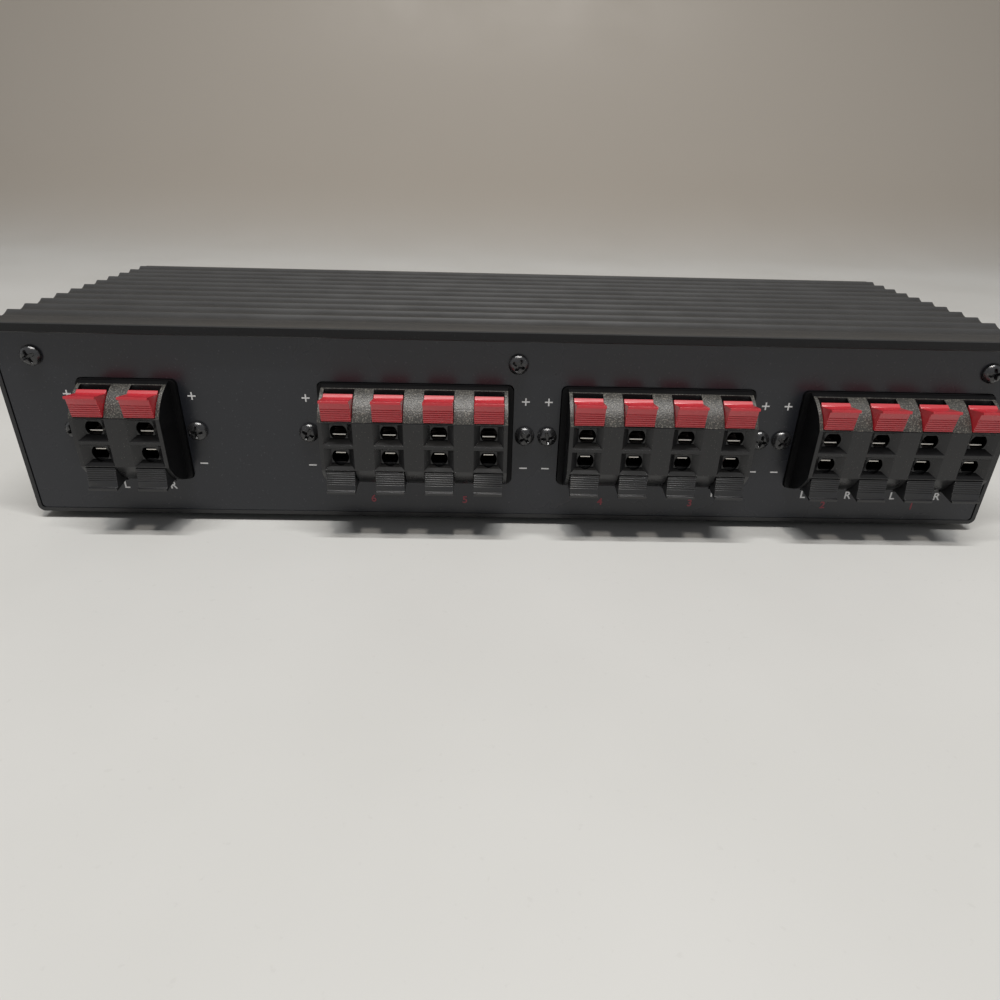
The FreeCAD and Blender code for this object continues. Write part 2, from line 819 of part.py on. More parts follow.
def make_contacts():
    for name, middle, columns in BLOCKS:
        body = new_body("contact_set_" + name)
        solids = []
        for side, word in ((1, "upper"), (-1, "lower")):
            for part, points in (("lug", contact_points(side)), ("spring", spring_points(side))):
                strip = new_body(f"{name}_{word}_{part}")
                sketch = sketch_on(strip, f"{name}_{word}_{part}_section", "YZ_Plane")
                outline(sketch, points)
                pad(strip, f"{name}_{word}_{part}_strip", sketch, contact_width, centred=True)
                solids.append(strip)
        doc.removeObject(body.Name)
        links = []
        for index in range(columns):
            for strip in solids:
                link = doc.addObject("App::Link", f"{strip.Name}_{index + 1}")
                link.LinkedObject = strip
                bind(link, "Placement.Base.x", column_pitch * (index - (columns - 1) / 2))
                links.append(link)
        finish(group("contact_set_" + name, links), middle, 0, block_level)


# Control side

def make_buttons():
    """Six caps, each with a stem that reaches into its switch."""
    half_along = button_width / 2
    half_up = button_height / 2
    stem = stem_width / 2
    for index, along in enumerate(button_places()):
        body = new_body(f"selector_button_{index + 1}")
        label = f"button_{index + 1}_"
        sketch = sketch_on(body, label + "face", "XZ_Plane", -button_reach)
        outline(sketch, rounded_rectangle(half_along, half_up, button_gap * 2))
        pad(body, label + "cap", sketch, button_reach + fascia_wall)
        stem_sketch = sketch_on(body, label + "stem_sketch", "XZ_Plane", fascia_wall)
        outline(stem_sketch, rectangle(-stem, stem, -stem, stem))
        pad(body, label + "stem", stem_sketch, button_travel * 2 + switch_length / 3)
        finish(body, along, case_depth, button_level)


def switch_front():
    """Face of the switches, measured from the terminal panel's face."""
    return case_depth - fascia_wall - button_travel - 1


def make_switches():
    """Six latching switches, each with a square hole for the stem and a foot on the board."""
    parts = []
    stem = stem_width / 2 + stem_gap
    front = switch_front()
    back = front - switch_length
    for index, along in enumerate(button_places()):
        low = button_level - switch_height / 2
        high = button_level + switch_height / 2
        shell = box(f"switch_shell_{index + 1}", (along - switch_width / 2, back, low),
                    (along + switch_width / 2, front, high))
        hole = box(f"switch_hole_{index + 1}", (along - stem, back + switch_length / 6, button_level - stem),
                   (along + stem, front + 1, button_level + stem))
        foot = box(f"switch_foot_{index + 1}", (along - switch_width / 2 + 1, back + 2, board_top()),
                   (along + switch_width / 2 - 1, front - 2, low))
        cut = cut_from(f"switch_case_{index + 1}", shell, [hole])
        joined = doc.addObject("Part::Fuse", f"switch_{index + 1}")
        joined.Base = cut
        joined.Tool = foot
        parts.append(joined)
    finish(group("selector_switches", parts))


def board_top():
    return button_level - switch_height / 2 - 6


def make_board():
    low = board_top() - board_wall
    near = board_back() - board_length
    plate = box("board_plate", (-board_width / 2, near, low), (board_width / 2, board_back(), board_top()))
    holes = []
    for index, (along, across) in enumerate(board_screw_places()):
        base = (along, across, low - 1)
        holes.append(cylinder(f"board_hole_{index + 1}", shank_radius + shank_gap, board_wall + 2, base))
    finish(cut_from("circuit_board", plate, holes))
    posts = []
    screws = []
    for index, (along, across) in enumerate(board_screw_places()):
        length = low - floor_top
        post = cylinder(f"post_{index + 1}", standoff_radius, length, (along, across, floor_top))
        bore_base = (along, across, low - screw_length)
        bore = cylinder(f"post_bore_{index + 1}", shank_radius, screw_length + 1, bore_base)
        posts.append(cut_from(f"standoff_{index + 1}", post, [bore]))
        head = cylinder(f"board_head_{index + 1}", head_radius - 1, head_height / 2, (along, across, board_top()))
        shank_base = (along, across, board_top() - screw_length + 1)
        shank = cylinder(f"board_shank_{index + 1}", shank_radius, screw_length - 1, shank_base)
        joined = doc.addObject("Part::Fuse", f"board_screw_{index + 1}")
        joined.Base = head
        joined.Tool = shank
        screws.append(joined)
    finish(group("board_standoffs", posts))
    finish(group("board_screws", screws))
    resistors = []
    near_row = near + resistor_side
    for index in range(4):
        along = board_width / 5 * (index - 1.5)
        low_corner = (along - resistor_length / 2, near_row - resistor_side / 2, board_top())
        high_corner = (along + resistor_length / 2, near_row + resistor_side / 2, board_top() + resistor_side)
        resistors.append(box(f"resistor_{index + 1}", low_corner, high_corner))
    finish(group("protection_resistors", resistors))


def make_ribbons():
    """Flat leads from each block's tails, folded down to the near edge of the board."""
    start = panel_wall + block_flange + block_tail + contact_tail
    end = board_back() - board_length
    level = as_size(0)
    board_level = board_top() - board_wall / 2 - block_level
    ribbons = []
    for name, middle, columns in BLOCKS:
        strip = new_body(f"ribbon_{name}")
        sketch = sketch_on(strip, f"ribbon_{name}_section", "YZ_Plane")
        tall = contact_height + contact_wall
        points = [
            (start, -tall),
            (start + ribbon_wall, -tall),
            (start + ribbon_wall * 3, board_level - ribbon_wall / 2),
            (end, board_level - ribbon_wall / 2),
            (end, board_level + ribbon_wall / 2),
            (start + ribbon_wall * 4, board_level + ribbon_wall / 2),
            (start + ribbon_wall * 2, tall),
            (start, tall),
        ]
        outline(sketch, points)
        pad(strip, f"ribbon_{name}_strip", sketch, block_half(columns) * 1.6, centred=True)
        link = doc.addObject("App::Link", f"lead_{name}")
        link.LinkedObject = strip
        bind(link, "Placement.Base.x", middle)
        ribbons.append(link)
    finish(group("wiring_ribbons", ribbons), 0, 0, block_level + level)


# Fasteners and feet

def make_screw_master():
    """Pan-head screw along -Y, its head's seat at the origin, with a cross recess."""
    body = new_body("pan_screw_shape")
    sketch = sketch_on(body, "pan_screw_half", "XY_Plane")
    edge = head_height * 0.45
    crown = head_radius * 0.55
    points = [
        (0, -head_height),
        (crown, -head_height),
        (head_radius * 0.88, -head_height * 0.8),
        (head_radius, -edge),
        (head_radius, 0),
        (shank_radius, 0),
        (shank_radius, screw_length),
        (0, screw_length),
    ]
    outline(sketch, points)
    turn = body.newObject("PartDesign::Revolution", "pan_screw_turned")
    turn.Profile = sketch
    turn.ReferenceAxis = (origin_axis(body, "Y_Axis"), [""])
    turn.Angle = 360
    for word, along, up in (("flat", cross_width / 2, crown), ("upright", crown, cross_width / 2)):
        cross = sketch_on(body, f"cross_{word}", "XZ_Plane", head_height)
        outline(cross, rectangle(-along, along, -up, up))
        pocket(body, f"cross_{word}_cut", cross, cross_depth, backward=True)
    return body


def make_screws():
    master = make_screw_master()
    terminal = []
    for name, middle, columns in BLOCKS:
        for side in (-1, 1):
            link = doc.addObject("App::Link", f"terminal_screw_{name}_{'left' if side < 0 else 'right'}")
            link.LinkedObject = master
            bind(link, "Placement.Base.x", middle + screw_reach(columns) * side)
            bind(link, "Placement.Base.z", block_level)
            terminal.append(link)
    finish(group("terminal_screws", terminal))
    panel = []
    for index, along in enumerate(panel_screw_places()):
        link = doc.addObject("App::Link", f"panel_screw_{index + 1}")
        link.LinkedObject = master
        bind(link, "Placement.Base.x", along)
        bind(link, "Placement.Base.z", bottom + panel_screw_height)
        panel.append(link)
    finish(group("panel_screws", panel))
    case = []
    for index, (along, across) in enumerate(panel_flange_places()):
        head = cylinder(f"case_head_{index + 1}", head_radius - 1, head_height / 2,
                        (along, across, bottom - head_height / 2))
        shank = cylinder(f"case_shank_{index + 1}", shank_radius, screw_length / 2, (along, across, bottom))
        joined = doc.addObject("Part::Fuse", f"case_screw_{index + 1}")
        joined.Base = head
        joined.Tool = shank
        case.append(joined)
    finish(group("case_screws", case))


def make_feet():
    feet = []
    reach = case_width / 2 - foot_inset
    for side in (-1, 1):
        for index, across in enumerate((foot_inset, case_depth - foot_inset)):
            cone = doc.addObject("Part::Cone", f"foot_{'left' if side < 0 else 'right'}_{index + 1}")
            bind(cone, "Radius1", foot_radius - 1)
            bind(cone, "Radius2", foot_radius)
            bind(cone, "Height", foot_height)
            bind(cone, "Placement.Base.x", reach * side)
            bind(cone, "Placement.Base.y", across)
            feet.append(cone)
    finish(group("rubber_feet", feet))


make_tray()
make_cover()
make_terminal_panel()
make_control_panel()
for block_name, block_place, block_columns in BLOCKS:
    make_housing(block_name, block_place, block_columns)
make_levers()
make_contacts()
make_buttons()
make_switches()
make_board()
make_ribbons()
make_screws()
make_feet()

doc.recompute()

problems = [thing.Name for thing in doc.Objects if "Invalid" in thing.State or "Error" in thing.State]
if problems:
    raise RuntimeError("failed objects: " + ", ".join(problems))
for thing in finished:
    shape = Part.getShape(thing)
    if shape.isNull() or not shape.isValid():
        raise RuntimeError("bad shape: " + thing.Label)
    shape.exportStep(f"parts/{thing.Label}.step")
print("sub-parts:", len(finished))
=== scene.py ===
"""Speaker selector: a fluted metal case with push-lever wire terminals and selector buttons."""
import logging
import math
from dataclasses import dataclass, field
from enum import Enum

import bmesh
import bpy
import numpy as np
from mathutils import Matrix, Vector


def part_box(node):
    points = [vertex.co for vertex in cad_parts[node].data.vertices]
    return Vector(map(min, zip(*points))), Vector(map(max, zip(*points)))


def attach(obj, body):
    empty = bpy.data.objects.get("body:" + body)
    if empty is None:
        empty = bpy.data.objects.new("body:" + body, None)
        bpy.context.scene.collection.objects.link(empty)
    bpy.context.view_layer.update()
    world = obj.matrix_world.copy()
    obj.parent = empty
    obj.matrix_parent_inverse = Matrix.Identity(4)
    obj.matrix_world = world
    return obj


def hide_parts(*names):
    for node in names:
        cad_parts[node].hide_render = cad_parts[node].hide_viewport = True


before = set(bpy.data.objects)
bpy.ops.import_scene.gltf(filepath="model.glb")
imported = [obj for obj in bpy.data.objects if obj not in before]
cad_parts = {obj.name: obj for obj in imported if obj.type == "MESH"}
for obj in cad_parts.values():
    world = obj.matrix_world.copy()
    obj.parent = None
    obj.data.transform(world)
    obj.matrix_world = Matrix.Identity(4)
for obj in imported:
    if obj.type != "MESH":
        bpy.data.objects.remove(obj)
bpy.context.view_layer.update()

LOG = logging.getLogger("speaker_selector")
MM = 0.001
CASE_BODY = "case"
PANEL_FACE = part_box("terminal_panel")[0][1]
FASCIA_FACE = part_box("control_panel")[1][1]
TOP_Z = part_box("top_cover")[1][2]
BLOCK_LEVEL = (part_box("terminal_housing_left")[0][2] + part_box("terminal_housing_left")[1][2]) / 2
# Sockets of a colour Mix node, by their place in its lists
MIX_FACTOR, MIX_FIRST, MIX_SECOND, MIX_RESULT = 0, 6, 7, 2
# Noise levels between which the roughness goes from low to high, and a fleck's fade
CLOUD_LOW, CLOUD_HIGH, FLECK_FADE = 0.3, 0.7, 0.07
CLOUD_DETAIL, GRAIN_DETAIL = 4.0, 3.0
# Distances in metres and degrees at which a mesh is merged, cleaned and flattened
MERGE_DISTANCE, LEAST_EDGE, FLAT_ANGLE = 0.000002, 0.000001, 0.6


class Side(Enum):
    """Upper row of levers (red, positive) or lower row (black, negative)."""

    UPPER = "red"
    LOWER = "black"


@dataclass(frozen=True)
class Block:
    """One terminal block: its name in the CAD nodes, its middle along X and its columns."""

    name: str
    middle: float
    columns: int
    pitch: float = 17.25 * MM
    screw_offset: float = 13.0 * MM

    def column_places(self) -> list[float]:
        """X of each column."""
        half = (self.columns - 1) / 2
        return [self.middle + self.pitch * (index - half) for index in range(self.columns)]

    def screw_places(self) -> list[float]:
        """X of the two fixing screws."""
        reach = self.pitch * (self.columns - 1) / 2 + self.screw_offset
        return [self.middle - reach, self.middle + reach]


def read_block(name: str, columns: int) -> Block:
    """A block whose middle is the middle of its housing's box.

    Args:
        name: the block's name in the CAD nodes.
        columns: how many columns of terminals it has.

    Returns:
        The block.
    """
    low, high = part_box("terminal_housing_" + name)
    return Block(name, (low[0] + high[0]) / 2, columns)


BLOCKS = (
    read_block("input", 2), read_block("left", 4),
    read_block("middle", 4), read_block("right", 4),
)


# ---- node groups -------------------------------------------------------------------------


def socket(group: bpy.types.NodeTree, name: str, kind: str, way: str,
           default: object = None) -> None:
    """Adds one socket to a node group.

    Args:
        group: the node group.
        name: the socket's name.
        kind: Float, Color or Vector.
        way: INPUT or OUTPUT.
        default: the value of an input that nothing feeds.
    """
    made = group.interface.new_socket(name=name, in_out=way, socket_type="NodeSocket" + kind)
    if default is not None:
        made.default_value = default


def grain_group() -> bpy.types.NodeTree:
    """Colour, roughness and height of a worked surface.

    A broad noise mixes a base and a second colour and moves the roughness; a fine noise past a
    threshold adds pale flecks, and is the height.

    Returns:
        The group, with inputs Base, Second, Fleck, Cloud Scale, Grain Scale, Fleck Amount,
        Fleck From, Rough Low and Rough High, and outputs Color, Roughness and Height.
    """
    group = bpy.data.node_groups.new("worked_surface", "ShaderNodeTree")
    for name, kind, value in (
        ("Base", "Color", (0.05, 0.05, 0.05, 1)), ("Second", "Color", (0.06, 0.06, 0.06, 1)),
        ("Fleck", "Color", (0.3, 0.3, 0.3, 1)), ("Cloud Scale", "Float", 60.0),
        ("Grain Scale", "Float", 2500.0), ("Fleck Amount", "Float", 0.0),
        ("Fleck From", "Float", 0.66), ("Rough Low", "Float", 0.35), ("Rough High", "Float", 0.5),
    ):
        socket(group, name, kind, "INPUT", value)
    for name, kind in (("Color", "Color"), ("Roughness", "Float"), ("Height", "Float")):
        socket(group, name, kind, "OUTPUT")
    nodes = group.nodes
    link = group.links.new
    source = nodes.new("NodeGroupInput")
    sink = nodes.new("NodeGroupOutput")
    place = nodes.new("ShaderNodeTexCoord")
    cloud = nodes.new("ShaderNodeTexNoise")
    grain = nodes.new("ShaderNodeTexNoise")
    cloud.inputs["Detail"].default_value = CLOUD_DETAIL
    grain.inputs["Detail"].default_value = GRAIN_DETAIL
    for noise, scale in ((cloud, "Cloud Scale"), (grain, "Grain Scale")):
        link(place.outputs["Object"], noise.inputs["Vector"])
        link(source.outputs[scale], noise.inputs["Scale"])
    blend = nodes.new("ShaderNodeMix")
    blend.data_type = "RGBA"
    link(cloud.outputs["Fac"], blend.inputs[MIX_FACTOR])
    link(source.outputs["Base"], blend.inputs[MIX_FIRST])
    link(source.outputs["Second"], blend.inputs[MIX_SECOND])
    fleck_mask = nodes.new("ShaderNodeMapRange")
    fleck_end = nodes.new("ShaderNodeMath")
    fleck_end.operation = "ADD"
    fleck_end.inputs[1].default_value = FLECK_FADE
    link(source.outputs["Fleck From"], fleck_end.inputs[0])
    link(source.outputs["Fleck From"], fleck_mask.inputs["From Min"])
    link(fleck_end.outputs[0], fleck_mask.inputs["From Max"])
    link(grain.outputs["Fac"], fleck_mask.inputs["Value"])
    fleck_fac = nodes.new("ShaderNodeMath")
    fleck_fac.operation = "MULTIPLY"
    link(fleck_mask.outputs["Result"], fleck_fac.inputs[0])
    link(source.outputs["Fleck Amount"], fleck_fac.inputs[1])
    flecked = nodes.new("ShaderNodeMix")
    flecked.data_type = "RGBA"
    link(fleck_fac.outputs[0], flecked.inputs[MIX_FACTOR])
    link(blend.outputs[MIX_RESULT], flecked.inputs[MIX_FIRST])
    link(source.outputs["Fleck"], flecked.inputs[MIX_SECOND])
    rough = nodes.new("ShaderNodeMapRange")
    rough.inputs["From Min"].default_value = CLOUD_LOW
    rough.inputs["From Max"].default_value = CLOUD_HIGH
    link(cloud.outputs["Fac"], rough.inputs["Value"])
    link(source.outputs["Rough Low"], rough.inputs["To Min"])
    link(source.outputs["Rough High"], rough.inputs["To Max"])
    link(flecked.outputs[MIX_RESULT], sink.inputs["Color"])
    link(rough.outputs["Result"], sink.inputs["Roughness"])
    link(grain.outputs["Fac"], sink.inputs["Height"])
    return group


GRAIN = grain_group()


@dataclass(frozen=True)
class Finish:
    """A surface finish: colours, noise scales per metre, and the shader's fixed values.

    With an edge over 0, the shading normal is rounded over that radius, in metres.
    """

    name: str
    base: tuple[float, float, float]
    second: tuple[float, float, float]
    rough: tuple[float, float] = (0.35, 0.5)
    fleck: tuple[float, float, float] = (0.3, 0.3, 0.3)
    fleck_amount: float = 0.0
    cloud_scale: float = 60.0
    grain_scale: float = 2500.0
    bump: float = 0.1
    bump_depth: float = 0.00005
    metallic: float = 0.0
    coat: float = 0.0
    coat_rough: float = 0.2
    specular: float = 0.5
    fleck_from: float = 0.66
    edge: float = 0.0

    def material(self) -> bpy.types.Material:
        """Builds the material once and returns it after that.

        Returns:
            The Principled material with the worked_surface group and a bump.
        """
        found = bpy.data.materials.get(self.name)
        if found:
            return found
        made = bpy.data.materials.new(self.name)
        made.use_nodes = True
        nodes = made.node_tree.nodes
        link = made.node_tree.links.new
        shader = nodes["Principled BSDF"]
        shader.inputs["Metallic"].default_value = self.metallic
        shader.inputs["Coat Weight"].default_value = self.coat
        shader.inputs["Coat Roughness"].default_value = self.coat_rough
        shader.inputs["Specular IOR Level"].default_value = self.specular
        grain = nodes.new("ShaderNodeGroup")
        grain.node_tree = GRAIN
        for name, value in (
            ("Base", (*self.base, 1)), ("Second", (*self.second, 1)), ("Fleck", (*self.fleck, 1)),
            ("Cloud Scale", self.cloud_scale), ("Grain Scale", self.grain_scale),
            ("Fleck Amount", self.fleck_amount), ("Fleck From", self.fleck_from),
            ("Rough Low", self.rough[0]), ("Rough High", self.rough[1]),
        ):
            grain.inputs[name].default_value = value
        link(grain.outputs["Color"], shader.inputs["Base Color"])
        link(grain.outputs["Roughness"], shader.inputs["Roughness"])
        bump = nodes.new("ShaderNodeBump")
        bump.inputs["Strength"].default_value = self.bump
        bump.inputs["Distance"].default_value = self.bump_depth
        link(grain.outputs["Height"], bump.inputs["Height"])
        if self.edge > 0:
            soften = nodes.new("ShaderNodeBevel")
            soften.samples = 4
            soften.inputs["Radius"].default_value = self.edge
            link(soften.outputs["Normal"], bump.inputs["Normal"])
        link(bump.outputs["Normal"], shader.inputs["Normal"])
        return made


COVER_BLACK = Finish(
    "cover_black_anodised", (0.018, 0.0182, 0.0182), (0.024, 0.0242, 0.0242), (0.36, 0.46),
    fleck=(0.12, 0.12, 0.12), fleck_amount=0.25, grain_scale=1800, bump=0.14, specular=0.85)
# Painted shade: a darker copy of the cover's anodising, for the upright faces of the lips
LIP_PAINTED_SHADE = Finish(
    "lip_black_anodised", (0.008, 0.008, 0.0085), (0.011, 0.011, 0.0115), (0.40, 0.50),
    fleck=(0.10, 0.10, 0.10), fleck_amount=0.25, grain_scale=1800, bump=0.14, specular=0.25)
PANEL_PAINT = Finish(
    "panel_satin_black", (0.014, 0.0155, 0.0205), (0.018, 0.0198, 0.0260), (0.22, 0.30),
    fleck=(0.12, 0.12, 0.13), fleck_amount=0.25, cloud_scale=25, grain_scale=1400, bump=0.05,
    specular=0.5)
TRAY_PAINT = Finish(
    "tray_satin_black", (0.011, 0.0115, 0.013), (0.015, 0.0155, 0.017), (0.30, 0.38),
    fleck=(0.10, 0.10, 0.10), fleck_amount=0.2, grain_scale=1600, bump=0.08)
BLOCK_PLASTIC = Finish(
    "block_moulded_plastic", (0.011, 0.011, 0.012), (0.015, 0.015, 0.016), (0.26, 0.36),
    fleck=(0.25, 0.24, 0.22), fleck_amount=0.4, cloud_scale=150, grain_scale=2200, bump=0.25,
    edge=0.0002)
# Humps: the grain and bump are the real sparked texture; the lighter base and the pale flecks are
# painted sheen
HUMP_GRAIN_AND_SHEEN = Finish(
    "hump_sparked_plastic", (0.030, 0.029, 0.026), (0.045, 0.043, 0.038), (0.32, 0.42),
    fleck=(0.36, 0.34, 0.29), fleck_amount=0.38, fleck_from=0.54, cloud_scale=420,
    grain_scale=2100, bump=1.0, bump_depth=0.00013, edge=0.0002)
# Painted shade: near-black plastic for the boss, the housing sides and the funnel floors, which lie
# in shade
NEAR_BLACK_SHADE = Finish(
    "boss_plain_plastic", (0.004, 0.004, 0.0045), (0.006, 0.006, 0.0065), (0.4, 0.5),
    cloud_scale=150, grain_scale=2600, bump=0.1, specular=0.12)
RED_PLASTIC = Finish(
    "lever_red_plastic", (0.60, 0.014, 0.028), (0.52, 0.010, 0.021), (0.22, 0.30),
    fleck=(0.80, 0.20, 0.20), fleck_amount=0.15, cloud_scale=200, grain_scale=1500, bump=0.06,
    coat=1.0, coat_rough=0.40)
BLACK_PLASTIC = Finish(
    "lever_black_plastic", (0.009, 0.009, 0.010), (0.013, 0.013, 0.014), (0.28, 0.36),
    fleck=(0.2, 0.2, 0.2), fleck_amount=0.1, cloud_scale=200, grain_scale=1500, bump=0.03,
    coat=0.2, coat_rough=0.30)
BUTTON_PLASTIC = Finish(
    "button_black_plastic", (0.012, 0.012, 0.013), (0.017, 0.017, 0.018), (0.22, 0.30),
    cloud_scale=120, grain_scale=2000, bump=0.04, coat=0.3)
CONTACT_PLATE = Finish(
    "contact_nickel", (0.86, 0.82, 0.75), (0.76, 0.72, 0.65), (0.26, 0.40),
    fleck=(0.35, 0.32, 0.28), fleck_amount=0.3, cloud_scale=400, metallic=1.0, bump=0.08)
SCREW_BLACK = Finish(
    "screw_black_oxide", (0.014, 0.014, 0.015), (0.030, 0.030, 0.032), (0.16, 0.30),
    fleck=(0.35, 0.34, 0.32), fleck_amount=0.5, cloud_scale=700, grain_scale=2600, metallic=0.2,
    bump=0.5, coat=0.5)
FOOT_RUBBER = Finish(
    "foot_rubber", (0.018, 0.018, 0.018), (0.026, 0.026, 0.026), (0.6, 0.75), cloud_scale=300,
    grain_scale=3000, bump=0.3)
MARK_WHITE = Finish(
    "printed_white", (0.86, 0.86, 0.86), (0.82, 0.82, 0.83), (0.4, 0.5), cloud_scale=500,
    grain_scale=5000, bump=0.02)
MARK_RED = Finish(
    "printed_red", (0.30, 0.035, 0.055), (0.26, 0.030, 0.046), (0.4, 0.5), cloud_scale=500,
    grain_scale=5000, bump=0.02)
# Painted shade: the contact metal inside the housings is darkened so that the wire entries stay dark
CONTACT_PAINTED_SHADE = Finish(
    "contact_blued", (0.035, 0.028, 0.026), (0.05, 0.04, 0.036), (0.45, 0.6), cloud_scale=400,
    metallic=0.3, bump=0.08)
SWITCH_GREY = Finish(
    "switch_grey_plastic", (0.10, 0.10, 0.11), (0.13, 0.13, 0.14), (0.4, 0.5))
BOARD_GREEN = Finish(
    "board_green_lacquer", (0.010, 0.10, 0.035), (0.014, 0.13, 0.05), (0.25, 0.35),
    fleck=(0.45, 0.40, 0.15), fleck_amount=0.2, grain_scale=900)
CEMENT_WHITE = Finish(
    "resistor_cement", (0.62, 0.61, 0.57), (0.70, 0.69, 0.65), (0.7, 0.85), bump=0.3)
BRASS = Finish(
    "standoff_brass", (0.70, 0.50, 0.20), (0.62, 0.43, 0.16), (0.25, 0.35), metallic=1.0)
ZINC = Finish(
    "screw_zinc", (0.62, 0.63, 0.66), (0.52, 0.53, 0.56), (0.25, 0.38), metallic=1.0)
RIBBON_GREY = Finish(
    "ribbon_grey_insulation", (0.20, 0.20, 0.21), (0.26, 0.26, 0.27), (0.45, 0.55))


# ---- mesh helpers ------------------------------------------------------------------------


def dress(thing: bpy.types.Object, finish: Finish) -> None:
    """Gives one object a single finish in place of its own materials.

    Args:
        thing: the object.
        finish: its finish.
    """
    thing.data.materials.clear()
    thing.data.materials.append(finish.material())


def add_piece(mesh: bpy.types.Mesh, name: str, finish: Finish, body: str,
              nodes: tuple[str, ...] = ()) -> bpy.types.Object:
    """Puts a finished mesh into the scene as one piece.

    Args:
        mesh: the mesh, in the frame of the CAD nodes.
        name: the piece's name.
        finish: its finish.
        body: the CAD body that it moves with.
        nodes: the CAD nodes that it stands for.

    Returns:
        The new object.
    """
    thing = bpy.data.objects.new(name, mesh)
    bpy.context.scene.collection.objects.link(thing)
    dress(thing, finish)
    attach(thing, body)
    if nodes:
        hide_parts(*nodes)
    LOG.info("%s: %d faces", name, len(mesh.polygons))
    return thing


def grid_mesh(name: str, grids: list[np.ndarray], closed: bool,
              smooth: float = 40.0) -> bpy.types.Mesh:
    """Joins grids of points into one mesh.

    Each grid is rows by columns by 3; neighbours on the grid share a four-sided face, and a
    closed grid's last column joins its first.

    Args:
        name: the mesh's name.
        grids: the arrays of points, in metres.
        closed: whether columns go round.
        smooth: edges sharper than this many degrees stay sharp.

    Returns:
        The mesh, its doubles merged and its normals outwards.
    """
    points = []
    faces = []
    start = 0
    for grid in grids:
        rows, columns, _ = grid.shape
        index = np.arange(rows * columns).reshape(rows, columns) + start
        following = np.roll(index, -1, axis=1) if closed else index[:, 1:]
        current = index if closed else index[:, :-1]
        quads = np.stack([current[:-1], following[:-1], following[1:], current[1:]], axis=-1)
        faces.append(quads.reshape(-1, 4))
        points.append(grid.reshape(-1, 3))
        start += rows * columns
    mesh = bpy.data.meshes.new(name)
    mesh.from_pydata(np.concatenate(points).tolist(), [], np.concatenate(faces).tolist())
    clean(mesh, smooth)
    return mesh


def clean(mesh: bpy.types.Mesh, smooth: float, flatten: bool = False) -> None:
    """Merges doubles, turns the normals outwards and shades by angle.

    Args:
        mesh: the mesh to clean in place.
        smooth: edges sharper than this many degrees stay sharp.
        flatten: whether coplanar triangles are joined into flat faces.
    """
    work = bmesh.new()
    work.from_mesh(mesh)
    bmesh.ops.remove_doubles(work, verts=work.verts, dist=MERGE_DISTANCE)
    bmesh.ops.dissolve_degenerate(work, dist=LEAST_EDGE, edges=work.edges)
    if flatten:
        bmesh.ops.dissolve_limit(work, angle_limit=math.radians(FLAT_ANGLE),
                                 verts=work.verts, edges=work.edges)
    bmesh.ops.recalc_face_normals(work, faces=work.faces)
    work.to_mesh(mesh)
    work.free()
    mesh.shade_smooth()
    mesh.set_sharp_from_angle(angle=math.radians(smooth))


def softened(node: str, piece: str, width: float, finish: Finish, body: str,
             smooth: float = 32.0) -> bpy.types.Object:
    """A merged copy of a CAD node with its hard edges rounded, which stands for the node.

    Args:
        node: the CAD node.
        piece: the new piece's name.
        width: the bevel's width in metres.
        finish: the finish.
        body: the body that carries it.
        smooth: edges past this many degrees are rounded.

    Returns:
        The new piece.
    """
    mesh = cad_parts[node].data.copy()
    mesh.name = piece
    clean(mesh, smooth, flatten=True)
    thing = add_piece(mesh, piece, finish, body, (node,))
    bevel = thing.modifiers.new("rounded_edges", "BEVEL")
    bevel.width = width
    bevel.segments = 2
    bevel.limit_method = "ANGLE"
    bevel.angle_limit = math.radians(smooth)
    bevel.use_clamp_overlap = True
    bevel.harden_normals = True
    return thing


def text_mesh(words: str, height: float, depth: float, bold: float = 0.0) -> bpy.types.Mesh:
    """A flat word as a mesh, centred on the origin in its own plane.

    Args:
        words: the letters.
        height: the font's size in metres.
        depth: the print's thickness in metres.
        bold: how far the outline is pushed out, in metres.

    Returns:
        The mesh, lying in X and Y.
    """
    curve = bpy.data.curves.new("print", "FONT")
    curve.body = words
    curve.size = height
    curve.align_x = "CENTER"
    curve.align_y = "CENTER"
    curve.extrude = depth / 2
    curve.offset = bold
    curve.resolution_u = 6
    maker = bpy.data.objects.new("print_maker", curve)
    bpy.context.scene.collection.objects.link(maker)
    bpy.context.view_layer.update()
    mesh = bpy.data.meshes.new_from_object(maker)
    bpy.data.objects.remove(maker)
    bpy.data.curves.remove(curve)
    return mesh


def upright(mesh: bpy.types.Mesh, along: float, across: float, up: float,
            back: bool = False) -> None:
    """Stands a flat mesh on a wall.

    Args:
        mesh: the mesh, flat in X and Y.
        along: X of its middle.
        across: Y of its middle.
        up: Z of its middle.
        back: whether the wall faces +Y; otherwise it faces -Y.
    """
    turn = Matrix.Rotation(math.pi / 2, 4, "X")
    if back:
        turn = Matrix.Rotation(math.pi, 4, "Z") @ turn
    mesh.transform(Matrix.Translation((along, across, up)) @ turn)


# ---- the case ----------------------------------------------------------------------------


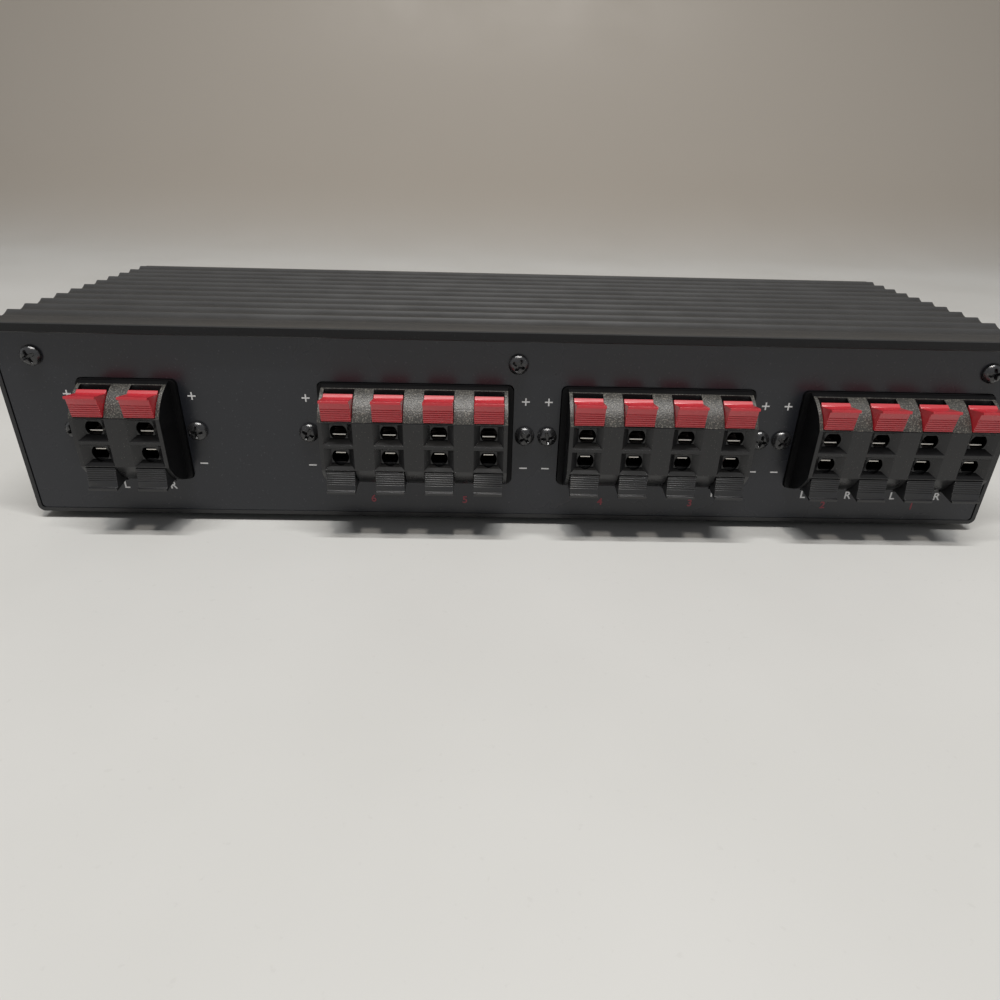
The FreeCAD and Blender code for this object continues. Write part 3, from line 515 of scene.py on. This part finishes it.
@dataclass
class FlutedCover:
    """The extruded top: twelve crests with concave flutes between, and a lip over each panel.

    The corner is the share of the rounding that a corner's middle point keeps; the end insets are
    the shares of it by which the two last rings at each end shrink.
    """

    crests: int = 12
    margin: float = 4.5 * MM
    land: float = 0.36 * MM
    run_curve: float = 2.3
    depth: float = 1.55 * MM
    lip_reach: float = 2.0 * MM
    lip_drop: float = 0.7 * MM
    lip_height: float = 3.4 * MM
    round_off: float = 0.35 * MM
    corner: float = 0.3
    end_insets: tuple[float, float] = (0.6, 0.18)
    shrink_level: float = 0.8
    shrink_least: float = 2.0 * MM
    sharp: float = 28.0
    lip_facing: float = 0.95
    steps: int = 14

    def profile(self) -> np.ndarray:
        """The top's outline from the terminal side to the control side.

        A flute is a circular arc sunk by the depth between two crests; the run from a lip to the
        first crest rises as a power of the distance; the lips have rounded corners.

        Returns:
            Rows of y and z, in metres, anticlockwise seen along +X.
        """
        case_depth = FASCIA_FACE - PANEL_FACE
        pitch = (case_depth - 2 * self.margin) / (self.crests - 1)
        half = pitch / 2 - self.land / 2
        radius = (half * half + self.depth * self.depth) / (2 * self.depth)
        angle = math.asin(half / radius)
        turn = np.linspace(-angle, angle, self.steps)
        arc = np.stack([radius * np.sin(turn), radius * (1 - np.cos(turn)) - self.depth], axis=1)
        middles = PANEL_FACE + self.margin + pitch * (np.arange(self.crests - 1) + 0.5)
        places = np.stack([middles, np.full_like(middles, TOP_Z)], axis=1)
        flutes = arc[None, :, :] + places[:, None, :]
        front = PANEL_FACE - self.lip_reach
        back = FASCIA_FACE + self.lip_reach
        low = TOP_Z - self.lip_drop - self.lip_height
        high = TOP_Z - self.lip_drop
        soft = self.round_off
        cut = soft * self.corner
        share = np.linspace(0.0, 1.0, self.steps)
        rise = high + (TOP_Z - high) * share ** self.run_curve
        first = PANEL_FACE + self.margin - self.land / 2
        last = FASCIA_FACE - self.margin + self.land / 2
        front_run = np.stack([front + soft + (first - front - soft) * share, rise], axis=1)
        back_run = np.stack([back - soft + (last - back + soft) * share, rise], axis=1)[::-1]
        start = np.concatenate([
            [[front, low + soft], [front, high - soft], [front + cut, high - cut]], front_run])
        end = np.concatenate([
            back_run, [[back - cut, high - cut], [back, high - soft],
                       [back, low + soft], [back - soft, low]]])
        under = np.array([[front + soft, low]])
        return np.concatenate([start, flutes.reshape(-1, 2), end, under])

    def build(self) -> None:
        """Sweeps the outline along X with a small rounding at both ends and closes the ends."""
        outline = self.profile()
        low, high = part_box("top_cover")
        soft = self.round_off
        cut = soft * self.corner
        places = np.array([low[0], low[0] + cut, low[0] + soft,
                           high[0] - soft, high[0] - cut, high[0]])
        most, less = (soft * share for share in self.end_insets)
        inset = np.array([most, less, 0.0, 0.0, less, most])
        middle = np.array([outline[:, 0].mean(), low[2] + self.shrink_level * (high[2] - low[2])])
        reach = outline - middle
        rise = np.maximum(np.abs(reach[:, 1]), self.shrink_least)
        shrink = np.clip(1 - inset[:, None] / rise[None, :], 0.0, 1.0)
        rows = np.empty((len(places), len(outline), 3))
        rows[:, :, 0] = places[:, None]
        rows[:, :, 1] = middle[0] + reach[:, 0] * (1 - inset / abs(reach[0, 0]))[:, None]
        rows[:, :, 2] = middle[1] + reach[:, 1] * shrink
        mesh = grid_mesh("top_cover_fluted", [rows], closed=True, smooth=self.sharp)
        work = bmesh.new()
        work.from_mesh(mesh)
        ends = [edge for edge in work.edges if edge.is_boundary]
        bmesh.ops.holes_fill(work, edges=ends, sides=0)
        bmesh.ops.recalc_face_normals(work, faces=work.faces)
        work.to_mesh(mesh)
        work.free()
        mesh.shade_smooth()
        mesh.set_sharp_from_angle(angle=math.radians(self.sharp))
        thing = add_piece(mesh, "top_cover_fluted", COVER_BLACK, CASE_BODY,
                          ("top_cover",))
        # The upright faces of the lips get the darker copy of the cover's finish: painted shade
        thing.data.materials.append(LIP_PAINTED_SHADE.material())
        normals = np.empty(len(mesh.polygons) * 3)
        mesh.polygons.foreach_get("normal", normals)
        lips = np.abs(normals[1::3]) > self.lip_facing
        mesh.polygons.foreach_set("material_index", lips.astype(np.int32))


@dataclass
class CaseShell:
    """Tray and the two panels, with rounded sheet edges."""

    edge: float = 0.3 * MM

    def build(self) -> None:
        """Makes the softened copies of the sheet pieces."""
        softened("chassis_tray", "tray_sheet", self.edge, TRAY_PAINT, CASE_BODY)
        softened("terminal_panel", "terminal_panel_sheet", self.edge, PANEL_PAINT,
                 CASE_BODY)
        softened("control_panel", "control_panel_plate", self.edge, PANEL_PAINT,
                 CASE_BODY)


@dataclass
class PanScrews:
    """Pan heads with a cross recess, over the CAD screws.

    Height over the seat is a flattened dome, which falls with a power of the distance from the
    middle; the recess is the deeper of two crossed slots whose walls slope and whose width narrows
    outwards.
    """

    radius: float = 3.5 * MM
    height: float = 2.3 * MM
    slot_half: float = 0.5 * MM
    slot_reach: float = 2.35 * MM
    recess: float = 1.5 * MM
    slot_flare: float = 1.15
    slot_narrowing: float = 0.4
    wall_start: float = 0.12 * MM
    wall_run: float = 0.2 * MM
    end_run: float = 0.9 * MM
    dome_drop: float = 0.62
    dome_power: int = 4
    ring_power: float = 0.8
    seat_gap: float = 0.00002
    first_turn: float = 0.4
    block_turn: float = 1.13
    panel_turn: float = 0.71
    sharp: float = 40.0
    rings: int = 44
    spokes: int = 112

    def head(self) -> np.ndarray:
        """Points of one head, seat at the origin, facing -Y.

        Returns:
            Rings by spokes by 3, in metres.
        """
        share = np.linspace(0.0, 1.0, self.rings) ** self.ring_power
        turn = np.linspace(0.0, 2 * math.pi, self.spokes, endpoint=False)
        radius = np.outer(share * self.radius, np.ones_like(turn))
        along = radius * np.cos(turn)[None, :]
        up = radius * np.sin(turn)[None, :]
        dome = self.height * (1 - self.dome_drop * (radius / self.radius) ** self.dome_power)
        arm_a = self.slot_depth(along, up)
        arm_b = self.slot_depth(up, along)
        level = dome - np.maximum(arm_a, arm_b)
        top = np.stack([along, -level, up], axis=-1)
        rim = np.stack([along[-1], np.zeros(self.spokes), up[-1]], axis=-1)[None]
        return np.concatenate([top, rim], axis=0)

    def slot_depth(self, along: np.ndarray, across: np.ndarray) -> np.ndarray:
        """Depth of one slot: full inside its width and length, falling off over a short slope.

        Args:
            along: distance from the middle along the slot, at each point.
            across: distance from the middle across the slot, at each point.

        Returns:
            The depth at each point, in metres.
        """
        flare = self.slot_flare - self.slot_narrowing * np.abs(along) / self.slot_reach
        half = self.slot_half * flare
        width = np.clip((half + self.wall_start - np.abs(across)) / self.wall_run, 0.0, 1.0)
        length = np.clip((self.slot_reach - np.abs(along)) / self.end_run, 0.0, 1.0)
        return self.recess * width * length

    def build_set(self, node: str, piece: str, places: list[tuple[float, float]],
                  turn_step: float) -> None:
        """Places the heads of one set on the terminal panel, each turned a step further.

        Args:
            node: the CAD node that the set stands for.
            piece: the new piece's name.
            places: x and z of each head.
            turn_step: the angle from one head to the next, in radians.
        """
        base = self.head()
        grids = []
        for index, (along, up) in enumerate(places):
            angle = self.first_turn + turn_step * index
            turned = base.copy()
            turned[..., 0] = base[..., 0] * math.cos(angle) - base[..., 2] * math.sin(angle)
            turned[..., 2] = base[..., 0] * math.sin(angle) + base[..., 2] * math.cos(angle)
            grids.append(turned + np.array([along, PANEL_FACE - self.seat_gap, up]))
        mesh = grid_mesh(piece, grids, closed=True, smooth=self.sharp)
        add_piece(mesh, piece, SCREW_BLACK, CASE_BODY, (node,))

    def build(self) -> None:
        """Builds the block screws and the panel screws."""
        blocks = [(along, BLOCK_LEVEL) for block in BLOCKS for along in block.screw_places()]
        low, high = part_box("panel_screws")
        level = (low[2] + high[2]) / 2
        reach = high[0] - self.radius
        panel = [(-reach, level), (0.0, level), (reach, level)]
        self.build_set("terminal_screws", "terminal_screw_heads", blocks, self.block_turn)
        self.build_set("panel_screws", "panel_screw_heads", panel, self.panel_turn)


@dataclass
class RubberFeet:
    """Four moulded feet: a tapered disc with rounded edges and a sunk middle.

    The outline is the distance from the axis and the height over the floor, in millimetres.
    """

    radius: float = 7.0 * MM
    outline: tuple[tuple[float, float], ...] = (
        (0.0, 1.4), (2.2, 1.4), (2.6, 1.2), (2.8, 0.3), (3.1, 0.0), (5.6, 0.0),
        (5.95, 0.15), (6.15, 0.5), (6.9, 2.7), (7.0, 2.95), (6.9, 3.0), (0.0, 3.0))
    sharp: float = 35.0
    spokes: int = 64

    def build(self) -> None:
        """Turns the foot's outline round each centre."""
        low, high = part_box("rubber_feet")
        outline = np.array(self.outline) * MM
        turn = np.linspace(0.0, 2 * math.pi, self.spokes, endpoint=False)
        ring = np.stack([
            np.outer(outline[:, 0], np.cos(turn)), np.outer(outline[:, 0], np.sin(turn)),
            np.outer(outline[:, 1], np.ones_like(turn))], axis=-1)
        reach = high[0] - self.radius
        near = low[1] + self.radius
        far = high[1] - self.radius
        grids = [ring + np.array([side * reach, across, 0.0])
                 for side in (-1, 1) for across in (near, far)]
        mesh = grid_mesh("feet_moulded", grids, closed=True, smooth=self.sharp)
        add_piece(mesh, "feet_moulded", FOOT_RUBBER, CASE_BODY, ("rubber_feet",))


# ---- terminals ---------------------------------------------------------------------------


class Mould(Enum):
    """Which finish a face of a housing has, by its place in the list of materials."""

    FACE = 0
    # The hump finish carries painted sheen
    HUMP = 1
    # The last finish is near-black painted shade
    PLAIN = 2


@dataclass
class TerminalBlocks:
    """Moulded housings, their levers and the metal seen through the wire entries.

    The facings are parts of a normal past which a face counts as turned that way.
    """

    lever_edge: float = 0.22 * MM
    crown_depth: float = 3.25 * MM
    hump_radius: float = 18.4 * MM
    hump_back: float = 3.2 * MM
    hump_rise: float = 0.7 * MM
    hump_floor: float = 9.0 * MM
    hump_slack: float = 0.15 * MM
    up_facing: float = 0.3
    out_facing: float = -0.2
    side_facing: float = 0.95
    side_limit: float = 0.05
    plane_merge: float = 0.0000001
    mould_sharp: float = 25.0
    metal_sharp: float = 30.0
    bead_sharp: float = 40.0
    entry_bead: float = 0.36 * MM
    bead_rise: float = 3.4 * MM
    upper_bead: float = 2.2 * MM
    lower_bead: float = 1.7 * MM
    bead_steps: int = 16

    def build(self) -> None:
        """Makes the housings, contacts and levers of every block."""
        for block in BLOCKS:
            self.housing(block)
            self.contacts(block)
            for column in range(1, block.columns + 1):
                for side in Side:
                    node = f"{side.value}_lever_{block.name}_{column}"
                    finish = RED_PLASTIC if side is Side.UPPER else BLACK_PLASTIC
                    softened(node, f"{side.value}_cap_{block.name}_{column}", self.lever_edge,
                             finish, f"{node}_body")

    def housing(self, block: Block) -> None:
        """A copy of a housing in three finishes: smooth face, sparked humps with painted sheen, and
        near-black painted shade on the boss, sides and funnel floors.

        Args:
            block: the block whose housing it is.
        """
        node = f"terminal_housing_{block.name}"
        work = bmesh.new()
        work.from_mesh(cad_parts[node].data)
        crown = PANEL_FACE - self.crown_depth
        bmesh.ops.remove_doubles(work, verts=work.verts, dist=LEAST_EDGE)
        bmesh.ops.bisect_plane(work, geom=[*work.verts, *work.edges, *work.faces],
                               dist=self.plane_merge, plane_co=(0.0, crown, 0.0),
                               plane_no=(0.0, 1.0, 0.0))
        mesh = bpy.data.meshes.new(f"housing_{block.name}")
        work.to_mesh(mesh)
        work.free()
        mesh.shade_smooth()
        mesh.set_sharp_from_angle(angle=math.radians(self.mould_sharp))
        thing = add_piece(mesh, f"housing_{block.name}", BLOCK_PLASTIC,
                          CASE_BODY, (node,))
        thing.data.materials.append(HUMP_GRAIN_AND_SHEEN.material())
        thing.data.materials.append(NEAR_BLACK_SHADE.material())
        count = len(mesh.polygons)
        middles = np.empty(count * 3)
        normals = np.empty(count * 3)
        mesh.polygons.foreach_get("center", middles)
        mesh.polygons.foreach_get("normal", normals)
        middles = middles.reshape(-1, 3)
        sideways, outward, upward = normals.reshape(-1, 3).T
        high = middles[:, 2] > BLOCK_LEVEL + self.hump_floor
        low = middles[:, 2] < BLOCK_LEVEL + self.hump_floor
        # Upward faces on the humps get the finish with painted sheen
        hump = high & (upward > self.up_facing) & (outward < self.out_facing)
        radius = np.hypot(middles[:, 1] - PANEL_FACE - self.hump_back,
                          np.abs(middles[:, 2] - BLOCK_LEVEL) - self.hump_rise)
        curved = ((middles[:, 1] < crown) & (np.abs(sideways) < self.side_limit)
                  & (radius > self.hump_radius - self.hump_slack))
        mesh.polygons.foreach_set("use_smooth", curved)
        # The boss, the sides and the funnel floors get near-black painted shade
        in_shade = (middles[:, 1] > crown) | (np.abs(sideways) > self.side_facing)
        floors = (upward > self.up_facing) & low
        shown = np.where(hump, Mould.HUMP.value, Mould.FACE.value)
        index = np.where(in_shade | floors, Mould.PLAIN.value, shown)
        mesh.polygons.foreach_set("material_index", index.astype(np.int32))

    def contacts(self, block: Block) -> None:
        """A copy of a contact set, darkened as painted shade, with a bright bead at each wire entry.

        A bead is a round bar: its section is a circle and its path runs along X.

        Args:
            block: the block whose contacts they are.
        """
        node = f"contact_set_{block.name}"
        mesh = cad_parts[node].data.copy()
        clean(mesh, self.metal_sharp)
        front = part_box(node)[0][1] + self.entry_bead
        turn = np.linspace(0.0, 2 * math.pi, self.bead_steps, endpoint=False)
        ends = np.array([-1.0, -1.0, 1.0, 1.0])
        girth = np.array([0.0, 1.0, 1.0, 0.0]) * self.entry_bead
        grids = []
        for along in block.column_places():
            for way, half in ((1, self.upper_bead), (-1, self.lower_bead)):
                grid = np.empty((4, self.bead_steps, 3))
                grid[:, :, 0] = along + half * ends[:, None]
                grid[:, :, 1] = front + girth[:, None] * np.cos(turn)[None, :]
                level = BLOCK_LEVEL + way * self.bead_rise
                grid[:, :, 2] = level + girth[:, None] * np.sin(turn)[None, :]
                grids.append(grid)
        beads = grid_mesh("beads", grids, closed=True, smooth=self.bead_sharp)
        dark_faces = len(mesh.polygons)
        work = bmesh.new()
        work.from_mesh(mesh)
        work.from_mesh(beads)
        joined = bpy.data.meshes.new(f"contacts_{block.name}")
        work.to_mesh(joined)
        work.free()
        bpy.data.meshes.remove(beads)
        bpy.data.meshes.remove(mesh)
        joined.set_sharp_from_angle(angle=math.radians(self.bead_sharp))
        thing = add_piece(joined, f"contacts_{block.name}", CONTACT_PAINTED_SHADE,
                          CASE_BODY, (node,))
        thing.data.materials.append(CONTACT_PLATE.material())
        bright = np.arange(len(joined.polygons)) >= dark_faces
        joined.polygons.foreach_set("material_index", bright.astype(np.int32))


@dataclass
class PanelMarks:
    """Printing on the terminal panel: white plus, minus, L and R, and red channel numbers."""

    depth: float = 0.03 * MM
    plus_size: float = 2.8 * MM
    minus_size: float = 2.8 * MM
    stroke: float = 0.5 * MM
    letter_height: float = 4.2 * MM
    bold: float = 0.09 * MM
    number_height: float = 4.0 * MM
    number_drop: float = 26.4 * MM
    plus_rise: float = 12.95 * MM
    minus_drop: float = 12.83 * MM
    letter_drop: float = 22.1 * MM
    first_number: int = 6

    def build(self) -> None:
        """Prints the signs and letters as one thin mesh and the channel numbers as another."""
        work = bmesh.new()
        across = PANEL_FACE - self.depth / 2
        for block in BLOCKS:
            for along in block.screw_places():
                self.bar(work, self.plus_size, self.stroke, along, BLOCK_LEVEL + self.plus_rise)
                arm = (self.plus_size - self.stroke) / 2
                for way in (1, -1):
                    middle = BLOCK_LEVEL + self.plus_rise + way * (self.stroke + arm) / 2
                    self.bar(work, self.stroke, arm, along, middle)
                self.bar(work, self.minus_size, self.stroke, along, BLOCK_LEVEL - self.minus_drop)
            for index, along in enumerate(block.column_places()):
                letter = "L" if index % 2 == 0 else "R"
                self.add(work, letter, self.letter_height, along, across,
                         BLOCK_LEVEL - self.letter_drop)
        self.finish(work, "panel_print", MARK_WHITE)
        work = bmesh.new()
        number = self.first_number
        for block in BLOCKS[1:]:
            places = block.column_places()
            for pair in range(0, block.columns, 2):
                along = (places[pair] + places[pair + 1]) / 2
                self.add(work, str(number), self.number_height, along, across,
                         BLOCK_LEVEL - self.number_drop)
                number -= 1
        self.finish(work, "panel_numbers", MARK_RED)

    def finish(self, work: bmesh.types.BMesh, name: str, finish: Finish) -> None:
        """Turns the gathered marks into one piece.

        Args:
            work: the marks, freed afterwards.
            name: the piece's name.
            finish: its finish.
        """
        mesh = bpy.data.meshes.new(name)
        work.to_mesh(mesh)
        work.free()
        add_piece(mesh, name, finish, CASE_BODY)

    def bar(self, work: bmesh.types.BMesh, wide: float, high: float, along: float,
            up: float) -> None:
        """Adds one flat bar to the print.

        Args:
            work: the marks so far.
            wide: size along X.
            high: size along Z.
            along: X of its middle.
            up: Z of its middle.
        """
        made = bmesh.ops.create_cube(work, size=1.0)
        bmesh.ops.scale(work, vec=(wide, self.depth, high), verts=made["verts"])
        bmesh.ops.translate(work, vec=(along, PANEL_FACE - self.depth / 2, up),
                            verts=made["verts"])

    def add(self, work: bmesh.types.BMesh, words: str, height: float, along: float,
            across: float, up: float) -> None:
        """Adds one letter or number to the print.

        Args:
            work: the marks so far.
            words: the letter or number.
            height: the font's size.
            along: X of its middle.
            across: Y of its middle.
            up: Z of its middle.
        """
        mesh = text_mesh(words, height, self.depth, self.bold)
        upright(mesh, along, across, up)
        work.from_mesh(mesh)
        bpy.data.meshes.remove(mesh)


# ---- control side ------------------------------------------------------------------------


@dataclass
class SelectorButtons:
    """Six push-button caps with rounded edges and printed numbers."""

    count: int = 6
    edge: float = 0.5 * MM
    number_height: float = 5.0 * MM
    print_depth: float = 0.04 * MM

    def build(self) -> None:
        """Softens each cap and prints its number, which counts from the far end of the row."""
        for index in range(1, self.count + 1):
            node = f"selector_button_{index}"
            softened(node, f"button_cap_{index}", self.edge, BUTTON_PLASTIC,
                     f"{node}_body")
            low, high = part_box(node)
            along = (low[0] + high[0]) / 2
            up = (low[2] + high[2]) / 2
            mesh = text_mesh(str(self.count + 1 - index), self.number_height, self.print_depth)
            upright(mesh, along, high[1] - self.print_depth / 4, up, back=True)
            add_piece(mesh, f"button_number_{index}", MARK_WHITE, f"{node}_body")


@dataclass
class Inside:
    """What the case hides: switches, board, resistors, wiring, and the screws that hold them."""

    finishes: dict[str, Finish] = field(default_factory=lambda: {
        "selector_switches": SWITCH_GREY, "circuit_board": BOARD_GREEN,
        "protection_resistors": CEMENT_WHITE, "board_standoffs": BRASS, "board_screws": ZINC,
        "wiring_ribbons": RIBBON_GREY, "case_screws": SCREW_BLACK,
    })

    def build(self) -> None:
        """Dresses each CAD node."""
        for node, finish in self.finishes.items():
            dress(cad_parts[node], finish)
            LOG.info("%s dressed", node)


# ---- studio ------------------------------------------------------------------------------


@dataclass(frozen=True)
class Lamp:
    """One area lamp, its long side along X, aimed at the foot of the terminal side."""

    name: str
    place: tuple[float, float, float]
    size: tuple[float, float]
    power: float
    colour: tuple[float, float, float]
    aim: tuple[float, float, float] = (0.0, -0.08, 0.03)

    def build(self) -> None:
        """Adds the lamp to the scene."""
        data = bpy.data.lights.new(self.name, "AREA")
        data.shape = "RECTANGLE"
        data.size, data.size_y = self.size
        data.energy = self.power
        data.color = self.colour
        thing = bpy.data.objects.new(self.name, data)
        bpy.context.scene.collection.objects.link(thing)
        thing.location = self.place
        way = Vector(self.aim) - Vector(self.place)
        thing.rotation_euler = way.to_track_quat("-Z", "Y").to_euler()


LAMPS = (
    Lamp("strip_above", (0.0, -0.30, 1.5), (1.2, 0.06), 17.5, (1.0, 0.99, 0.97)),
    Lamp("soft_above_front", (0.0, -0.50, 1.5), (0.12, 0.12), 4.0, (1.0, 0.93, 0.85)),
)


@dataclass
class Studio:
    """Pale floor and backdrop, soft light from above, and the camera."""

    focal_mm: float = 24.55
    sensor_mm: float = 36.0
    near_clip: float = 0.01
    eye: tuple[float, float, float] = (-0.01079, -0.23144, 0.12786)
    pitch: float = 26.928
    yaw: float = -1.368
    roll: float = 1.474
    fill: float = 0.15
    background: float = 0.5
    bend_start: float = 0.7
    bend_radius: float = 0.5
    bend_steps: int = 24
    floor_front: float = -2.5
    floor_side: float = 3.0
    wall_top: float = 2.6
    tint_before: float = 0.1
    tint_after: float = 0.3
    wall_tint: tuple[float, float, float, float] = (0.50, 0.455, 0.40, 1)
    sky: tuple[float, float, float, float] = (0.97, 0.98, 1.0, 1)

    def camera(self) -> None:
        """Places the camera: pitch down from level, yaw about Z, then roll about the view."""
        yaw, pitch, roll = (math.radians(turn) for turn in (self.yaw, self.pitch, self.roll))
        right = Vector((math.cos(yaw), math.sin(yaw), 0))
        level = Vector((-math.sin(yaw), math.cos(yaw), 0))
        ahead = math.cos(pitch) * level - math.sin(pitch) * Vector((0, 0, 1))
        up = math.sin(pitch) * level + math.cos(pitch) * Vector((0, 0, 1))
        side = math.cos(roll) * right + math.sin(roll) * up
        top = -math.sin(roll) * right + math.cos(roll) * up
        lens = bpy.data.cameras.new("camera")
        lens.lens = self.focal_mm
        lens.sensor_width = self.sensor_mm
        lens.sensor_height = self.sensor_mm
        lens.sensor_fit = "HORIZONTAL"
        lens.clip_start = self.near_clip
        holder = bpy.data.objects.new("camera", lens)
        bpy.context.scene.collection.objects.link(holder)
        place = Matrix((side, top, -ahead)).transposed().to_4x4()
        place.translation = Vector(self.eye) + Vector((0, PANEL_FACE, 0))
        holder.matrix_world = place
        bpy.context.scene.camera = holder

    def floor_material(self) -> bpy.types.Material:
        """Pale laminate with faint clouding and small specks, which turns warmer behind.

        Returns:
            The material of the floor and the backdrop.
        """
        made = Finish(
            "floor_laminate", (0.64, 0.64, 0.62), (0.70, 0.70, 0.685), (0.40, 0.55),
            fleck=(0.45, 0.44, 0.42), fleck_amount=0.12, cloud_scale=9, grain_scale=420,
            bump=0.02).material()
        nodes = made.node_tree.nodes
        link = made.node_tree.links.new
        shader = nodes["Principled BSDF"]
        place = nodes.new("ShaderNodeTexCoord")
        split = nodes.new("ShaderNodeSeparateXYZ")
        share = nodes.new("ShaderNodeMapRange")
        share.interpolation_type = "SMOOTHSTEP"
        share.inputs["From Min"].default_value = self.bend_start - self.tint_before
        share.inputs["From Max"].default_value = self.bend_start + self.tint_after
        tint = nodes.new("ShaderNodeMix")
        tint.data_type = "RGBA"
        tint.inputs[MIX_SECOND].default_value = self.wall_tint
        link(place.outputs["Object"], split.inputs[0])
        link(split.outputs["Y"], share.inputs["Value"])
        link(share.outputs["Result"], tint.inputs[MIX_FACTOR])
        link(shader.inputs["Base Color"].links[0].from_socket, tint.inputs[MIX_FIRST])
        link(tint.outputs[MIX_RESULT], shader.inputs["Base Color"])
        return made

    def floor(self) -> None:
        """A flat floor that curves up into a backdrop far behind.

        The section is a straight run, a quarter circle and a straight rise.
        """
        turn = np.linspace(0.0, math.pi / 2, self.bend_steps)
        radius = self.bend_radius
        away = self.bend_start + radius * np.sin(turn)
        bend = np.stack([away, radius * (1 - np.cos(turn))], axis=1)
        section = np.concatenate([
            [[self.floor_front, 0.0]], bend, [[self.bend_start + radius, self.wall_top]]])
        along = np.linspace(-self.floor_side, self.floor_side, 3)
        grid = np.empty((len(section), len(along), 3))
        grid[:, :, 0] = along[None, :]
        grid[:, :, 1] = section[:, 0][:, None]
        grid[:, :, 2] = section[:, 1][:, None]
        mesh = grid_mesh("floor", [grid], closed=False)
        flip = bmesh.new()
        flip.from_mesh(mesh)
        if sum(face.normal.z for face in flip.faces) < 0:
            bmesh.ops.reverse_faces(flip, faces=flip.faces)
        flip.to_mesh(mesh)
        flip.free()
        floor = bpy.data.objects.new("floor", mesh)
        bpy.context.scene.collection.objects.link(floor)
        floor.data.materials.append(self.floor_material())

    def world(self) -> None:
        """Faint even light from all round; the camera and glossy surfaces see it pale."""
        world = bpy.data.worlds.new("room")
        bpy.context.scene.world = world
        world.use_nodes = True
        nodes = world.node_tree.nodes
        link = world.node_tree.links.new
        nodes["Background"].inputs["Color"].default_value = self.sky
        path = nodes.new("ShaderNodeLightPath")
        seen = nodes.new("ShaderNodeMath")
        seen.operation = "MAXIMUM"
        strength = nodes.new("ShaderNodeMapRange")
        strength.inputs["To Min"].default_value = self.fill
        strength.inputs["To Max"].default_value = self.background
        link(path.outputs["Is Camera Ray"], seen.inputs[0])
        link(path.outputs["Is Glossy Ray"], seen.inputs[1])
        link(seen.outputs[0], strength.inputs["Value"])
        link(strength.outputs["Result"], nodes["Background"].inputs["Strength"])

    def build(self) -> None:
        """Sets up floor, lamps, world, camera and view transform."""
        self.floor()
        self.world()
        for lamp in LAMPS:
            lamp.build()
        bpy.context.scene.view_settings.view_transform = "Standard"
        self.camera()


def main() -> None:
    """Builds the object, its printing and the studio."""
    logging.basicConfig(level=logging.INFO, format="%(name)s %(message)s")
    for builder in (FlutedCover(), CaseShell(), PanScrews(), RubberFeet(), TerminalBlocks(),
                    PanelMarks(), SelectorButtons(), Inside(), Studio()):
        LOG.info("building %s", type(builder).__name__)
        builder.build()


if __name__ == "__main__":
    main()
